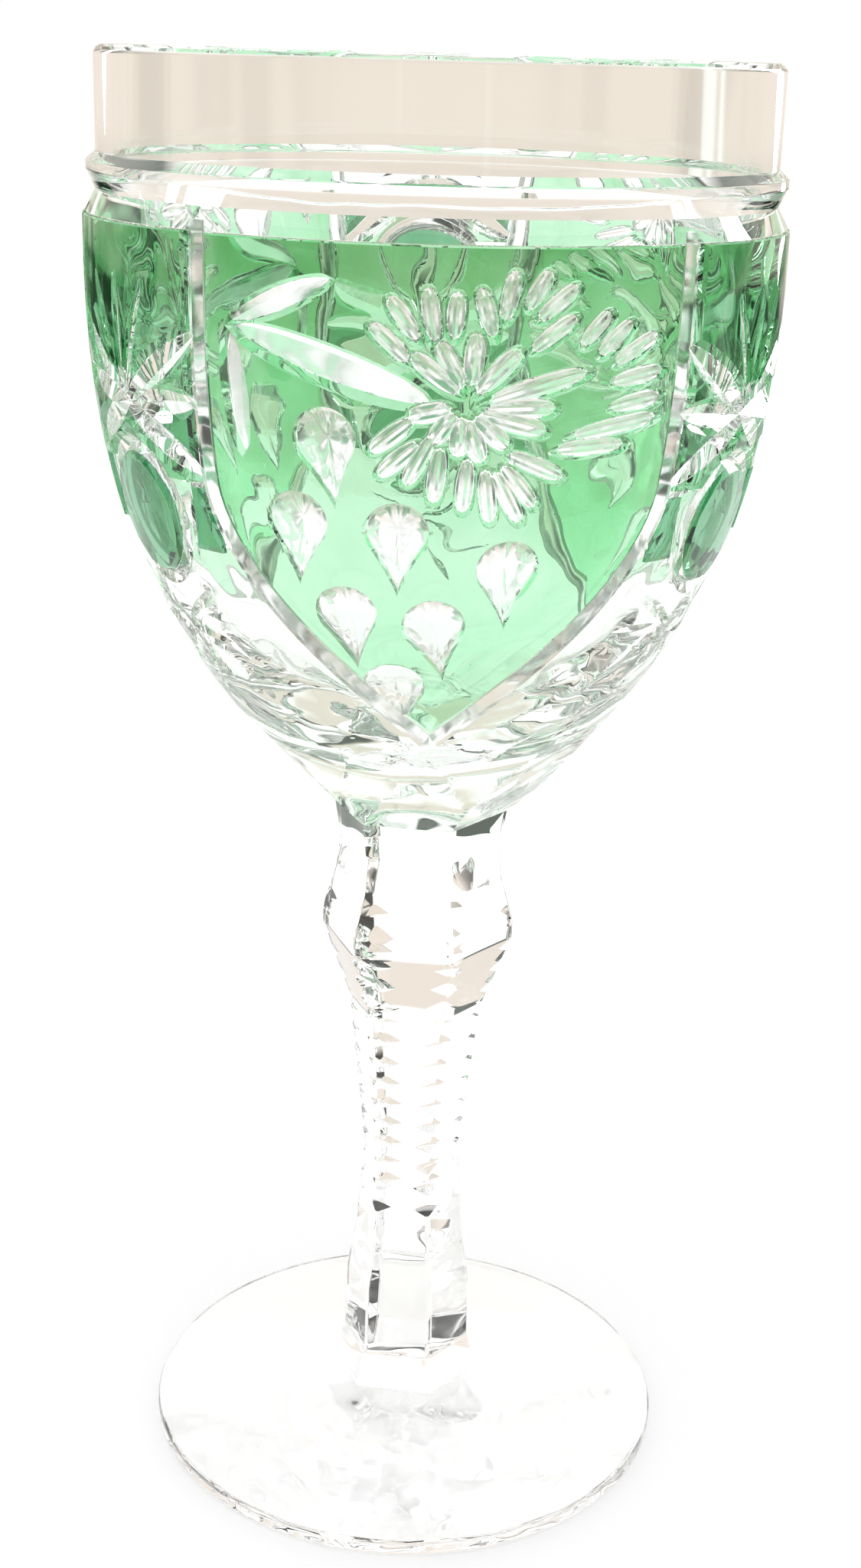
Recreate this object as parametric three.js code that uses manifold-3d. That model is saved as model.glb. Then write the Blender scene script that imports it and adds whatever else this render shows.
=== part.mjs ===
// A stemmed drinking glass: a clear bowl with a thin green outer layer that is cut through in patterns,
// on a six-sided stem with a knop and a round foot. Lengths are millimetres, angles are degrees, +Z is up.
// The origin is the middle of the foot's underside, and the front shield panel faces -Y.
import * as THREE from "three";
import { mergeVertices } from "three/addons/utils/BufferGeometryUtils.js";
import Module from "manifold-3d";

const wasm = await Module();
wasm.setup();

// Heights of the three parts that stack up
const FOOT_HEIGHT = 6.5;
const STEM_LENGTH = 75.5;
const BOWL_HEIGHT = 93;

// Foot
const FOOT_RADIUS = 33.6;
const FOOT_EDGE_THICKNESS = 2.2;
const FOOT_EDGE_ROUNDING = 0.7;
const FOOT_SEAT_RADIUS = 11;
const FOOT_DOME_DROP = 2.6;

// Stem: corner radii of its six-sided sections, and where they lie from its two ends
const STEM_TURN = 19;
const STEM_SIDES = 6;
const STEM_SEAT_RADIUS = 9.8;
const STEM_FLARE_RADIUS = 8.5;
const STEM_FLARE_HEIGHT = 4.5;
const STEM_COLLAR_RADIUS = 8.3;
const STEM_COLLAR_HEIGHT = 14;
const STEM_STEP_RADIUS = 7.3;
const STEM_STEP_HEIGHT = 19.5;
const STEM_WAIST_RADIUS = 6.35;
const STEM_WAIST_HEIGHT = 32.5;
const KNOP_SHOULDER_RADIUS = 8.7;
const KNOP_SHOULDER_DROP = 22;
const KNOP_RADIUS = 12.3;
const KNOP_DROP = 10;
const KNOP_BELT = 2.4;
const KNOP_COLLAR_RADIUS = 10.7;
const KNOP_COLLAR_DROP = 4.6;
const NECK_RADIUS = 10.15;

// Notches along the stem's corners
const NOTCH_COUNT = 13;
const NOTCH_PITCH = 3;
const NOTCH_DEPTH = 0.75;
const NOTCH_BAR = 4;
const LOWEST_NOTCH = 26;

// Bowl: outer shape, rim band, ledge ring and groove, measured down from the rim
const BOWL_RADIUS = 39.9;
const BOWL_BASE_RADIUS = 10.9;
const BOWL_FLARE_RADIUS = 17.4;
const BOWL_FLARE_HEIGHT = 17;
const BOWL_SHOULDER_HEIGHT = 23.5;
const WIDEST_DROP = 21;
const FACET_RISE = 4.5;
const FACET_TOP_RADIUS = 27;
const FACET_TOP_HEIGHT = 19;
const CASING_DROP = 17.5;
const BEVEL_RADIUS = 39.6;
const GROOVE_DROP = 15.2;
const GROOVE_RADIUS = 38.4;
const LEDGE_DROP = 11.8;
const LEDGE_WIDTH = 1.7;
const LEDGE_RADIUS = 39.4;
const LEDGE_SLOPE = 0.8;
const RIM_RADIUS = 38.3;
const RIM_WALL = 2;
const RIM_ROUNDING = 0.6;

// Inside of the cup
const WALL = 3.4;
const CUP_FLOOR_HEIGHT = 16.5;
const CUP_FLOOR_WIDTH = 19;
const CUP_SHOULDER_HEIGHT = 29;

// Green layer: how thick it is, the clearance that it keeps to the clear body under it, and where it ends
const CASING_THICKNESS = 0.55;
const CASING_CLEARANCE = 0.05;
const CASING_FOOT_HEIGHT = 9.5;

// Three shield panels, and the columns between them
const REPEATS = 3;
const PANEL_HALF_ANGLE = 39.5;
const PANEL_HEIGHT = 55.5;
const SHIELD_SHOULDER = 0.45;
const SHIELD_CURVE = 1.75;
const BORDER_WIDTH = 2.5;
const BORDER_DEPTH = 1.3;

// Cuts of each kind: width and depth, and how many sections a curved one has
const LEAF = { width: 2.9, depth: 1.5, stations: 2 };
const OLIVE = { width: 1.9, depth: 1.2 };
const NEEDLE = { width: 1.6, depth: 1.1 };
const LOWER_RAY = { width: 1.9, depth: 1.2, stations: 2 };
const RAY = { width: 2.9, depth: 1.5, stations: 1 };
const RING = { width: 2.4, depth: 1.4, radius: 7.8, steps: 12, lap: 0.01 };
const GRAPE = { radius: 3.1, tip: 7.2, depth: 1.4, mouth: 1.2, floor: 0.55, steps: 5 };

// A tapered cut's depth falls away as this power of its distance from the ends
const TAPER_POWER = 0.7;

// Shares by which a star's rays start behind its middle, a border starts above its panel,
// and the arch over a lens spans its ring
const RAY_OVERRUN = 0.15;
const BORDER_OVERRUN = 0.02;
const ARCH_SPAN = 0.52;

// How finely round things are divided
const TURN_SEGMENTS = 48;
const BOWL_ROWS = 6;
const CUP_ROWS = 6;
const SHIELD_STEPS = 6;
const CUTTER_LIFT = 1;
const WEDGE_START_RADIUS = 4;
const PATH_PROBE = 0.01;
const WELD = 0.002;

const neckZ = FOOT_HEIGHT + STEM_LENGTH;
const rimZ = neckZ + BOWL_HEIGHT;
const panelTopZ = rimZ - CASING_DROP;
const casingInset = CASING_THICKNESS + CASING_CLEARANCE;
const columnHalfAngle = 180 / REPEATS - PANEL_HALF_ANGLE;

const glass = { clear: 0xe9ece6, green: 0x4fae78 };

/** A closed geometry as a solid that can be cut and joined. */
function solidOf(geometry) {
  const bare = geometry.clone();
  bare.deleteAttribute("normal");
  bare.deleteAttribute("uv");
  const merged = mergeVertices(bare, WELD);
  const corners = merged.index.array;
  const kept = [];
  for (let i = 0; i < corners.length; i += 3) {
    const [a, b, c] = [corners[i], corners[i + 1], corners[i + 2]];
    if (a !== b && b !== c && c !== a) kept.push(a, b, c);
  }
  return new wasm.Manifold(
    new wasm.Mesh({
      numProp: 3,
      vertProperties: new Float32Array(merged.attributes.position.array),
      triVerts: new Uint32Array(kept),
    }),
  );
}

/** A solid as a three.js geometry. */
function geometryOf(solid) {
  const mesh = solid.getMesh();
  const geometry = new THREE.BufferGeometry();
  geometry.setAttribute("position", new THREE.BufferAttribute(mesh.vertProperties, 3));
  geometry.setIndex(new THREE.BufferAttribute(mesh.triVerts, 1));
  geometry.computeVertexNormals();
  return geometry;
}

/** The largest separate body of a solid: slivers that a cut leaves loose break away. */
function largestBody(solid) {
  return solid.decompose().reduce((best, body) => (body.volume() > best.volume() ? body : best));
}

/** A cut solid as a clean geometry: near points are welded, and what that pinches off is dropped. */
function finished(solid) {
  return geometryOf(largestBody(solidOf(geometryOf(largestBody(solid)))));
}

/** A profile of [radius, height] pairs turned about the upright axis. */
function turned(profile, segments) {
  const points = profile.map(([radius, height]) => new THREE.Vector2(radius, height));
  const geometry = new THREE.LatheGeometry(points, segments);
  geometry.rotateX(Math.PI / 2);
  return geometry;
}

/** A closed body between rings of points: a side is split the same way from either of its faces. */
function lofted(rings, capTriangles) {
  const size = rings[0].length;
  const positions = rings.flat().flatMap((point) => point.toArray());
  const corners = [];
  for (let ring = 0; ring + 1 < rings.length; ring += 1) {
    for (let i = 0; i < size; i += 1) {
      const next = (i + 1) % size;
      const [a, b] = [ring * size + i, ring * size + next];
      const climbs = rings[ring][i].z <= rings[ring][next].z;
      if (climbs) corners.push(a, b, b + size, a, b + size, a + size);
      else corners.push(a, b, a + size, b, b + size, a + size);
    }
  }
  const last = (rings.length - 1) * size;
  for (const [a, b, c] of capTriangles) {
    corners.push(c, b, a, a + last, b + last, c + last);
  }
  const geometry = new THREE.BufferGeometry();
  geometry.setAttribute("position", new THREE.Float32BufferAttribute(positions, 3));
  geometry.setIndex(corners);
  return geometry;
}

// The bowl's outer line from the neck to the widest place, as a curve of radius and height
const outerCurve = new THREE.CubicBezierCurve(
  new THREE.Vector2(BOWL_BASE_RADIUS, neckZ),
  new THREE.Vector2(BOWL_FLARE_RADIUS, neckZ + BOWL_FLARE_HEIGHT),
  new THREE.Vector2(BOWL_RADIUS, neckZ + BOWL_SHOULDER_HEIGHT),
  new THREE.Vector2(BOWL_RADIUS, rimZ - WIDEST_DROP),
);

/** Radius of the bowl's outer line at a height, found by halving. */
function radiusAt(z) {
  if (z >= rimZ - WIDEST_DROP) return BOWL_RADIUS;
  let low = 0;
  let high = 1;
  const halvings = 30;
  for (let i = 0; i < halvings; i += 1) {
    const middle = (low + high) / 2;
    if (outerCurve.getPoint(middle).y < z) low = middle;
    else high = middle;
  }
  return outerCurve.getPoint(low).x;
}

/** How far the outer line leans out for each unit of height. */
function leanAt(z) {
  const probe = 0.2;
  return (radiusAt(z + probe) - radiusAt(z - probe)) / (2 * probe);
}

/** A point over the bowl's outer surface: azimuth 0 is the front, and lift is along the normal. */
function onBowl(azimuth, z, lift = 0) {
  const lean = leanAt(z);
  const length = Math.hypot(1, lean);
  const radius = radiusAt(z) + lift / length;
  const height = z - (lift * lean) / length;
  const turn = THREE.MathUtils.degToRad(azimuth);
  return new THREE.Vector3(radius * Math.sin(turn), -radius * Math.cos(turn), height);
}

/** A cut of V section along a path on the bowl: path(u) gives [azimuth, z] for u from 0 to 1. */
function mitre(path, kind, depthAt = (u) => Math.pow(1 - (2 * u - 1) ** 2, TAPER_POWER)) {
  const flank = kind.width / 2 / kind.depth;
  const steps = kind.stations + 1;
  const rings = [];
  for (let step = 0; step <= steps; step += 1) {
    const u = step / steps;
    const depth = kind.depth * depthAt(u);
    const here = onBowl(...path(u));
    const ahead = onBowl(...path(Math.min(1, u + PATH_PROBE)));
    const behind = onBowl(...path(Math.max(0, u - PATH_PROBE)));
    const normal = onBowl(...path(u), 1).sub(here);
    const side = ahead.sub(behind).cross(normal).normalize();
    const spread = (depth + CUTTER_LIFT) * flank;
    const top = here.clone().addScaledVector(normal, CUTTER_LIFT);
    const floor = here.clone().addScaledVector(normal, -depth);
    const right = top.clone().addScaledVector(side, spread);
    const left = top.clone().addScaledVector(side, -spread);
    rings.push([floor, left, right]);
  }
  return solidOf(lofted(rings, [[0, 1, 2]]));
}

/** A straight cut between two places given by [azimuth, z], which follows the bowl's curve. */
function straightCut(from, to, kind) {
  const path = (u) => [from[0] + (to[0] - from[0]) * u, from[1] + (to[1] - from[1]) * u];
  return mitre(path, kind);
}

/** A short cut between two places: a V that is deepest in the middle and runs out at both ends. */
function olive(from, to, kind) {
  const middle = [(from[0] + to[0]) / 2, (from[1] + to[1]) / 2];
  const centre = onBowl(...middle);
  const normal = onBowl(...middle, 1).sub(centre);
  const along = onBowl(...to).sub(onBowl(...from)).divideScalar(2);
  const side = along.clone().cross(normal).normalize();
  const flank = kind.width / 2 / kind.depth;
  const corner = (share, depth, spread) => {
    const point = centre.clone().addScaledVector(along, share);
    return point.addScaledVector(normal, -depth).addScaledVector(side, spread);
  };
  const section = (share, depth) => {
    const spread = (depth + CUTTER_LIFT) * flank;
    const sides = [-spread, spread].map((offset) => corner(share, -CUTTER_LIFT, offset));
    return [corner(share, depth, 0), ...sides];
  };
  return solidOf(lofted([section(-1, 0), section(0, kind.depth), section(1, 0)], [[0, 1, 2]]));
}

/** A grape: a drop-shaped hollow, round above and pointed below. */
function grape(centre, tip) {
  const [azimuth, z] = centre;
  const radius = radiusAt(z);
  const slope = Math.hypot(1, leanAt(z));
  const across = THREE.MathUtils.degToRad(tip[0] - azimuth) * radius;
  const down = (z - tip[1]) * slope;
  const heading = Math.atan2(across, down);
  const reach = Math.acos(GRAPE.radius / GRAPE.tip);
  const outline = [[0, GRAPE.tip]];
  for (let i = 0; i <= GRAPE.steps; i += 1) {
    const angle = reach + ((2 * Math.PI - 2 * reach) * i) / GRAPE.steps;
    outline.push([GRAPE.radius * Math.sin(angle), GRAPE.radius * Math.cos(angle)]);
  }
  const ring = (scale, lift) =>
    outline.map(([a, b]) => {
      const side = scale * (a * Math.cos(heading) + b * Math.sin(heading));
      const drop = scale * (b * Math.cos(heading) - a * Math.sin(heading));
      return onBowl(azimuth + THREE.MathUtils.radToDeg(side / radius), z - drop / slope, lift);
    });
  const rings = [ring(GRAPE.floor, -GRAPE.depth), ring(GRAPE.mouth, CUTTER_LIFT)];
  const cap = outline.slice(2).map((_, i) => [0, i + 1, i + 2]);
  return solidOf(lofted(rings, cap));
}

/** Azimuth and height of a place on a panel: x from -1 to 1 across, y from 0 at the top to 1 at the point. */
function onPanel(middle, [x, y]) {
  return [middle + x * PANEL_HALF_ANGLE, panelTopZ - y * PANEL_HEIGHT];
}

/** The same on a column between two panels. */
function onColumn(middle, [x, y]) {
  return [middle + x * columnHalfAngle, panelTopZ - y * PANEL_HEIGHT];
}

/** Half the shield's width at a share of its height, as a share of its half angle. */
function shieldWidth(y) {
  if (y <= SHIELD_SHOULDER) return 1;
  return 1 - Math.pow((y - SHIELD_SHOULDER) / (1 - SHIELD_SHOULDER), SHIELD_CURVE);
}

/** The borders of a shield: one V cut down each side to the point. */
function shieldBorders(middle) {
  const kind = { width: BORDER_WIDTH, depth: BORDER_DEPTH, stations: SHIELD_STEPS + 1 };
  const side = (sign) => (u) => {
    const y = u * (1 + BORDER_OVERRUN) - BORDER_OVERRUN;
    return onPanel(middle, [sign * shieldWidth(y), y]);
  };
  return [-1, 1].map((sign) => mitre(side(sign), kind, () => 1));
}

// Places on a panel, from the shield's top edge: three leaves that spring from one node
const leafNode = [-0.85, 0.15];
const leafTips = [[-0.42, 0.07], [-0.06, 0.27], [-0.81, 0.39]];

// Olives that radiate from the middle of the large flower
const flowerOlives = [
  [[-0.26, 0.14], [-0.11, 0.2]],
  [[-0.2, 0.09], [-0.1, 0.18]],
  [[-0.06, 0.07], [-0.03, 0.17]],
  [[0.04, 0.07], [0.03, 0.16]],
  [[0.12, 0.08], [0.14, 0.16]],
  [[0.25, 0.03], [0.22, 0.12]],
  [[0.38, 0.03], [0.33, 0.09]],
  [[0.49, 0.06], [0.35, 0.14]],
  [[0.49, 0.11], [0.32, 0.17]],
  [[-0.15, 0.31], [-0.29, 0.35]],
  [[-0.13, 0.36], [-0.24, 0.42]],
  [[-0.01, 0.36], [-0.03, 0.46]],
  [[0.1, 0.36], [0.08, 0.47]],
  [[0.16, 0.39], [0.21, 0.49]],
  [[0.22, 0.41], [0.35, 0.5]],
  [[0.26, 0.35], [0.49, 0.4]],
];

// Olives of the small flower beside it
const smallFlowerOlives = [
  [[0.63, 0.1], [0.49, 0.17]],
  [[0.72, 0.13], [0.58, 0.19]],
  [[0.85, 0.16], [0.63, 0.21]],
  [[0.87, 0.22], [0.64, 0.24]],
  [[0.88, 0.27], [0.65, 0.29]],
  [[0.82, 0.32], [0.56, 0.34]],
];

// Grapes: the middle of the head and the direction of the point
const grapes = [
  [[-0.47, 0.34], [-0.42, 0.46]],
  [[-0.58, 0.51], [-0.57, 0.63]],
  [[-0.18, 0.52], [-0.19, 0.64]],
  [[0.29, 0.58], [0.31, 0.71]],
  [[-0.42, 0.68], [-0.4, 0.79]],
  [[-0.01, 0.71], [0.05, 0.86]],
  [[-0.2, 0.85], [-0.13, 0.94]],
];

// Places on a column: an upper star over a round lens, and a lower star under it
const upperStar = [0, 0.34];
const reach = 1.05;
const upperRays = [[reach, 0.46], [reach, 0.31], [reach, 0.17]];
const upperNeedles = [[0, 0.1], [0.38, 0.11]];
const lensMiddle = [0, 0.56];
const bladeCut = [[0.8, 0.44], [0.66, 0.66]];
const bladeTop = [0.8, 0.475];
const bladeEnd = [0.72, 0.6];
const lowerStar = [0, 0.8];
const lowerRays = [[0.82, 0.68], [0.84, 0.81], [0.5, 0.92]];

const mirrored = ([x, y]) => [-x, y];
const bothSides = (places) => [...places, ...places.filter(([x]) => x !== 0).map(mirrored)];

/** The cuts of one panel that go on into the clear body. */
function deepPanelCuts(middle) {
  const place = (spot) => onPanel(middle, spot);
  return [
    ...shieldBorders(middle),
    ...leafTips.map((tip) => straightCut(place(leafNode), place(tip), LEAF)),
    ...grapes.map(([head, tip]) => grape(place(head), place(tip))),
  ];
}

/** The cuts of one panel that end under the green layer. */
function shallowPanelCuts(middle) {
  const ends = [...flowerOlives, ...smallFlowerOlives];
  return ends.map(([from, to]) => olive(onPanel(middle, from), onPanel(middle, to), OLIVE));
}

/** Azimuth and height on the ring round a column's lens, at a share of the turn. */
function onRing(middle, share, radius = RING.radius) {
  const [azimuth, z] = onColumn(middle, lensMiddle);
  const turn = 2 * Math.PI * share;
  const across = THREE.MathUtils.radToDeg((radius * Math.sin(turn)) / radiusAt(z));
  return [azimuth + across, z + (radius * Math.cos(turn)) / Math.hypot(1, leanAt(z))];
}

/** A way to cut that starts a little behind the first place, so that the rays of a star cross. */
function overrun(cut) {
  const behind = (from, to) => from.map((value, i) => value - RAY_OVERRUN * (to[i] - value));
  return (from, to, kind) => cut(behind(from, to), to, kind);
}

/** Every cut of one column. */
function columnCuts(middle) {
  const place = (spot) => onColumn(middle, spot);
  const star = (start, ends, cut, kind) =>
    bothSides(ends).map((end) => cut(place(start), place(end), kind));
  const halfRing = (start) => (u) => onRing(middle, start - RING.lap + u * (0.5 + 2 * RING.lap));
  const ringKind = { ...RING, stations: RING.steps / 2 };
  return [
    ...star(upperStar, upperRays, overrun(straightCut), RAY),
    ...star(upperStar, upperNeedles, olive, NEEDLE),
    ...star(lowerStar, lowerRays, straightCut, LOWER_RAY),
    olive(...bladeCut.map(place), NEEDLE),
    olive(...bladeCut.map(mirrored).map(place), NEEDLE),
    mitre(halfRing(0), ringKind, () => 1),
    mitre(halfRing(0.5), ringKind, () => 1),
  ];
}

/** A wedge from the axis outwards that takes in the outline of [azimuth, z] places. */
function wedge(outline) {
  const contour = outline.map(([azimuth, z]) => new THREE.Vector2(azimuth, z));
  if (THREE.ShapeUtils.isClockWise(contour)) contour.reverse();
  const ring = (radius) =>
    contour.map(({ x, y }) => {
      const turn = THREE.MathUtils.degToRad(x);
      return new THREE.Vector3(radius * Math.sin(turn), -radius * Math.cos(turn), y);
    });
  const rings = [ring(WEDGE_START_RADIUS), ring(2 * BOWL_RADIUS)];
  return solidOf(lofted(rings, THREE.ShapeUtils.triangulateShape(contour, [])));
}

/** Corners of a shield's outline, down the right side and up the left. */
function shieldOutline(middle) {
  const down = Array.from({ length: SHIELD_STEPS }, (_, i) => {
    const y = SHIELD_SHOULDER + ((1 - SHIELD_SHOULDER) * i) / SHIELD_STEPS;
    return [shieldWidth(y), y];
  });
  const right = [[1, 0], ...down];
  return [...right, [0, 1], ...right.map(mirrored).reverse()].map((spot) => onPanel(middle, spot));
}

/** The bowl's heights where its outer line bends, the same for the body and for the green layer. */
const outerRows = outerCurve.getPoints(BOWL_ROWS);

/** The clear body: turned outside and inside, with flat facets at its base. */
function clearBody() {
  const inner = new THREE.CubicBezierCurve(
    new THREE.Vector2(0, neckZ + CUP_FLOOR_HEIGHT),
    new THREE.Vector2(CUP_FLOOR_WIDTH, neckZ + CUP_FLOOR_HEIGHT),
    new THREE.Vector2(BOWL_RADIUS - WALL, neckZ + CUP_SHOULDER_HEIGHT),
    new THREE.Vector2(BOWL_RADIUS - WALL, rimZ - WIDEST_DROP),
  );
  const profile = [
    [0, neckZ],
    ...outerRows.map(({ x, y }) => [x - casingInset, y]),
    [BOWL_RADIUS - casingInset, panelTopZ],
    [BEVEL_RADIUS, panelTopZ + CASING_CLEARANCE],
    [GROOVE_RADIUS, rimZ - GROOVE_DROP],
    [LEDGE_RADIUS, rimZ - LEDGE_DROP - LEDGE_WIDTH],
    [LEDGE_RADIUS, rimZ - LEDGE_DROP],
    [RIM_RADIUS, rimZ - LEDGE_DROP + LEDGE_SLOPE],
    [RIM_RADIUS, rimZ - RIM_ROUNDING],
    [RIM_RADIUS - RIM_ROUNDING, rimZ],
    [RIM_RADIUS - RIM_WALL + RIM_ROUNDING, rimZ],
    [RIM_RADIUS - RIM_WALL, rimZ - RIM_ROUNDING],
    ...inner.getPoints(CUP_ROWS).reverse().map(({ x, y }) => [x, y]),
  ];
  const facets = turned(
    [
      [0, neckZ],
      [NECK_RADIUS, neckZ],
      [BOWL_BASE_RADIUS, neckZ + FACET_RISE],
      [FACET_TOP_RADIUS, neckZ + FACET_TOP_HEIGHT],
      [2 * BOWL_RADIUS, neckZ + 2 * FACET_TOP_HEIGHT],
      [2 * BOWL_RADIUS, rimZ + 1],
      [0, rimZ + 1],
    ],
    STEM_SIDES,
  ).rotateZ(THREE.MathUtils.degToRad(STEM_TURN));
  return solidOf(turned(profile, TURN_SEGMENTS)).intersect(solidOf(facets));
}

/** The green layer before it is cut: a thin shell over the body, up to the bevel. */
function greenLayer() {
  const covered = outerRows.filter(({ y }) => y > neckZ + CASING_FOOT_HEIGHT);
  const outside = covered.map(({ x, y }) => [x, y]);
  outside.push([BOWL_RADIUS, panelTopZ - CASING_CLEARANCE]);
  const inside = outside.map(([radius, height]) => [radius - CASING_THICKNESS, height]).reverse();
  return solidOf(turned([...outside, ...inside, outside[0]], TURN_SEGMENTS));
}

const group = new THREE.Group();

/** Adds a named piece made of one kind of glass. */
function addPiece(name, geometry, colour) {
  const material = new THREE.MeshStandardMaterial({ color: colour, roughness: 0.05, metalness: 0 });
  const mesh = new THREE.Mesh(geometry, material);
  mesh.name = name;
  group.add(mesh);
}

/** The foot: a round disc, domed a little, with a flat seat for the stem. */
function foot() {
  const profile = [
    [0, 0],
    [FOOT_RADIUS - FOOT_EDGE_ROUNDING, 0],
    [FOOT_RADIUS, FOOT_EDGE_ROUNDING],
    [FOOT_RADIUS, FOOT_EDGE_THICKNESS - FOOT_EDGE_ROUNDING],
    [FOOT_RADIUS - FOOT_EDGE_ROUNDING, FOOT_EDGE_THICKNESS],
    [(FOOT_RADIUS + FOOT_SEAT_RADIUS) / 2, FOOT_HEIGHT - FOOT_DOME_DROP],
    [FOOT_SEAT_RADIUS, FOOT_HEIGHT],
    [0, FOOT_HEIGHT],
  ];
  return turned(profile, TURN_SEGMENTS);
}

// The stem's sections from its seat on the foot to the neck, as [corner radius, height]
const stemLine = [
  [STEM_SEAT_RADIUS, FOOT_HEIGHT],
  [STEM_FLARE_RADIUS, FOOT_HEIGHT + STEM_FLARE_HEIGHT],
  [STEM_COLLAR_RADIUS, FOOT_HEIGHT + STEM_COLLAR_HEIGHT],
  [STEM_STEP_RADIUS, FOOT_HEIGHT + STEM_STEP_HEIGHT],
  [STEM_WAIST_RADIUS, FOOT_HEIGHT + STEM_WAIST_HEIGHT],
  [KNOP_SHOULDER_RADIUS, neckZ - KNOP_SHOULDER_DROP],
  [KNOP_RADIUS, neckZ - KNOP_DROP - KNOP_BELT],
  [KNOP_RADIUS, neckZ - KNOP_DROP],
  [KNOP_COLLAR_RADIUS, neckZ - KNOP_COLLAR_DROP],
  [NECK_RADIUS, neckZ],
];

/** Corner radius of the stem at a height. */
function stemRadiusAt(z) {
  const above = stemLine.findIndex(([, height]) => height > z);
  const [[lowRadius, low], [highRadius, high]] = [stemLine[above - 1], stemLine[above]];
  return THREE.MathUtils.mapLinear(z, low, high, lowRadius, highRadius);
}

/** The stem: six-sided, with a row of V notches down each corner. */
function stem() {
  const profile = [[0, FOOT_HEIGHT], ...stemLine, [0, neckZ]];
  const turn = THREE.MathUtils.degToRad(STEM_TURN);
  let solid = solidOf(turned(profile, STEM_SIDES).rotateZ(turn));
  for (let corner = 0; corner < STEM_SIDES; corner += 1) {
    for (let i = 0; i < NOTCH_COUNT; i += 1) {
      const z = FOOT_HEIGHT + LOWEST_NOTCH + i * NOTCH_PITCH;
      const bar = new THREE.BoxGeometry(NOTCH_BAR, 2 * STEM_WAIST_RADIUS, NOTCH_BAR);
      bar.rotateY(Math.PI / 4);
      bar.translate(stemRadiusAt(z) - NOTCH_DEPTH + NOTCH_BAR * Math.SQRT1_2, 0, z);
      bar.rotateZ(turn + Math.PI / 2 + (corner * 2 * Math.PI) / STEM_SIDES);
      solid = solid.subtract(solidOf(bar));
    }
  }
  return finished(solid);
}

// Where the panels and the columns are, and their names
const panels = [["front", 0], ["right_rear", 120], ["left_rear", -120]];
const columns = [["right", 60], ["rear", 180], ["left", -60]];

const deepCuts = wasm.Manifold.union([
  ...panels.flatMap(([, middle]) => deepPanelCuts(middle)),
  ...columns.flatMap(([, middle]) => columnCuts(middle)),
]);
const shallowCuts = wasm.Manifold.union(panels.flatMap(([, middle]) => shallowPanelCuts(middle)));
const cutLayer = greenLayer().subtract(deepCuts).subtract(shallowCuts);

addPiece("foot", foot(), glass.clear);
addPiece("stem", stem(), glass.clear);
addPiece("bowl", finished(clearBody().subtract(deepCuts)), glass.clear);

/** Adds a green patch: what the cuts leave of the layer inside an outline. */
function addPatch(name, outline) {
  addPiece(name, finished(cutLayer.intersect(wedge(outline))), glass.green);
}

for (const [name, middle] of panels) {
  addPatch(`panel_${name}`, shieldOutline(middle));
}

// Outlines of a column's patches: the crown above the star, the arch between the star and the lens,
// and on each side two triangles between the star's rays and a blade beside the lens
const [lowerRay, middleRay, upperRay] = upperRays;
const crown = [upperStar, upperRay, [reach, 0], [-reach, 0], mirrored(upperRay)];
const sidePatches = {
  upper_triangle: [upperStar, upperRay, middleRay],
  lower_triangle: [upperStar, middleRay, lowerRay],
  blade: [bladeTop, [reach, bladeTop[1]], [reach, bladeEnd[1]], bladeEnd],
};

/** The arch's outline: along the two lower rays of the star and back over the ring. */
function archOutline(middle) {
  const rays = [lowerRay, upperStar, mirrored(lowerRay)].map((spot) => onColumn(middle, spot));
  const steps = RING.steps / 2;
  const share = (i) => (i / steps - 0.5) * ARCH_SPAN;
  const span = Array.from({ length: steps + 1 }, (_, i) => onRing(middle, share(i) / 2));
  return [...rays, ...span];
}

for (const [name, middle] of columns) {
  const lens = Array.from({ length: RING.steps }, (_, i) => onRing(middle, i / RING.steps));
  addPatch(`crown_${name}`, crown.map((spot) => onColumn(middle, spot)));
  addPatch(`arch_${name}`, archOutline(middle));
  addPatch(`lens_${name}`, lens);
  for (const [kind, outline] of Object.entries(sidePatches)) {
    addPatch(`${kind}_${name}_a`, outline.map((spot) => onColumn(middle, spot)));
    addPatch(`${kind}_${name}_b`, outline.map((spot) => onColumn(middle, mirrored(spot))));
  }
}

export default group;
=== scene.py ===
"""The look of a stemmed glass: a clear bowl cased in green and cut through, a faceted stem and a round foot.

Sizes are millimetres and angles are degrees while a piece is being made. A finished piece is put into metres.
Azimuth 0 is the front, which faces -Y, and azimuth grows towards +X. A share runs from 0 to 1.
"""

import logging
import math
from dataclasses import dataclass, field
from enum import Enum
from typing import Callable, Iterable, Sequence, Union

import bmesh
import bpy
from mathutils import Matrix, Vector

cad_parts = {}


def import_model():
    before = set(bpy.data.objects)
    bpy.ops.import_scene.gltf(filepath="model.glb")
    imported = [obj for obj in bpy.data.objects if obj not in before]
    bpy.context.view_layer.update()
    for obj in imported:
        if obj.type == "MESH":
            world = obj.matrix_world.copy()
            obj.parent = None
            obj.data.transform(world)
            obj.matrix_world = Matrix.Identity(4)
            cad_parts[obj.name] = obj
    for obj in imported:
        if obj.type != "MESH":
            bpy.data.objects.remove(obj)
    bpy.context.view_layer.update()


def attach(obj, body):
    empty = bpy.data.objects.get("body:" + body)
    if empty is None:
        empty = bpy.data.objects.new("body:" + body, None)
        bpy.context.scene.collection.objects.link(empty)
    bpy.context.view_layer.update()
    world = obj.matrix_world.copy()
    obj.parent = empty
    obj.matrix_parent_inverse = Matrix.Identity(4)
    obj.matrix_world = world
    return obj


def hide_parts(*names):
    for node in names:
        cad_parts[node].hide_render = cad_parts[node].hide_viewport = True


log = logging.getLogger("stemmed_glass")

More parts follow.
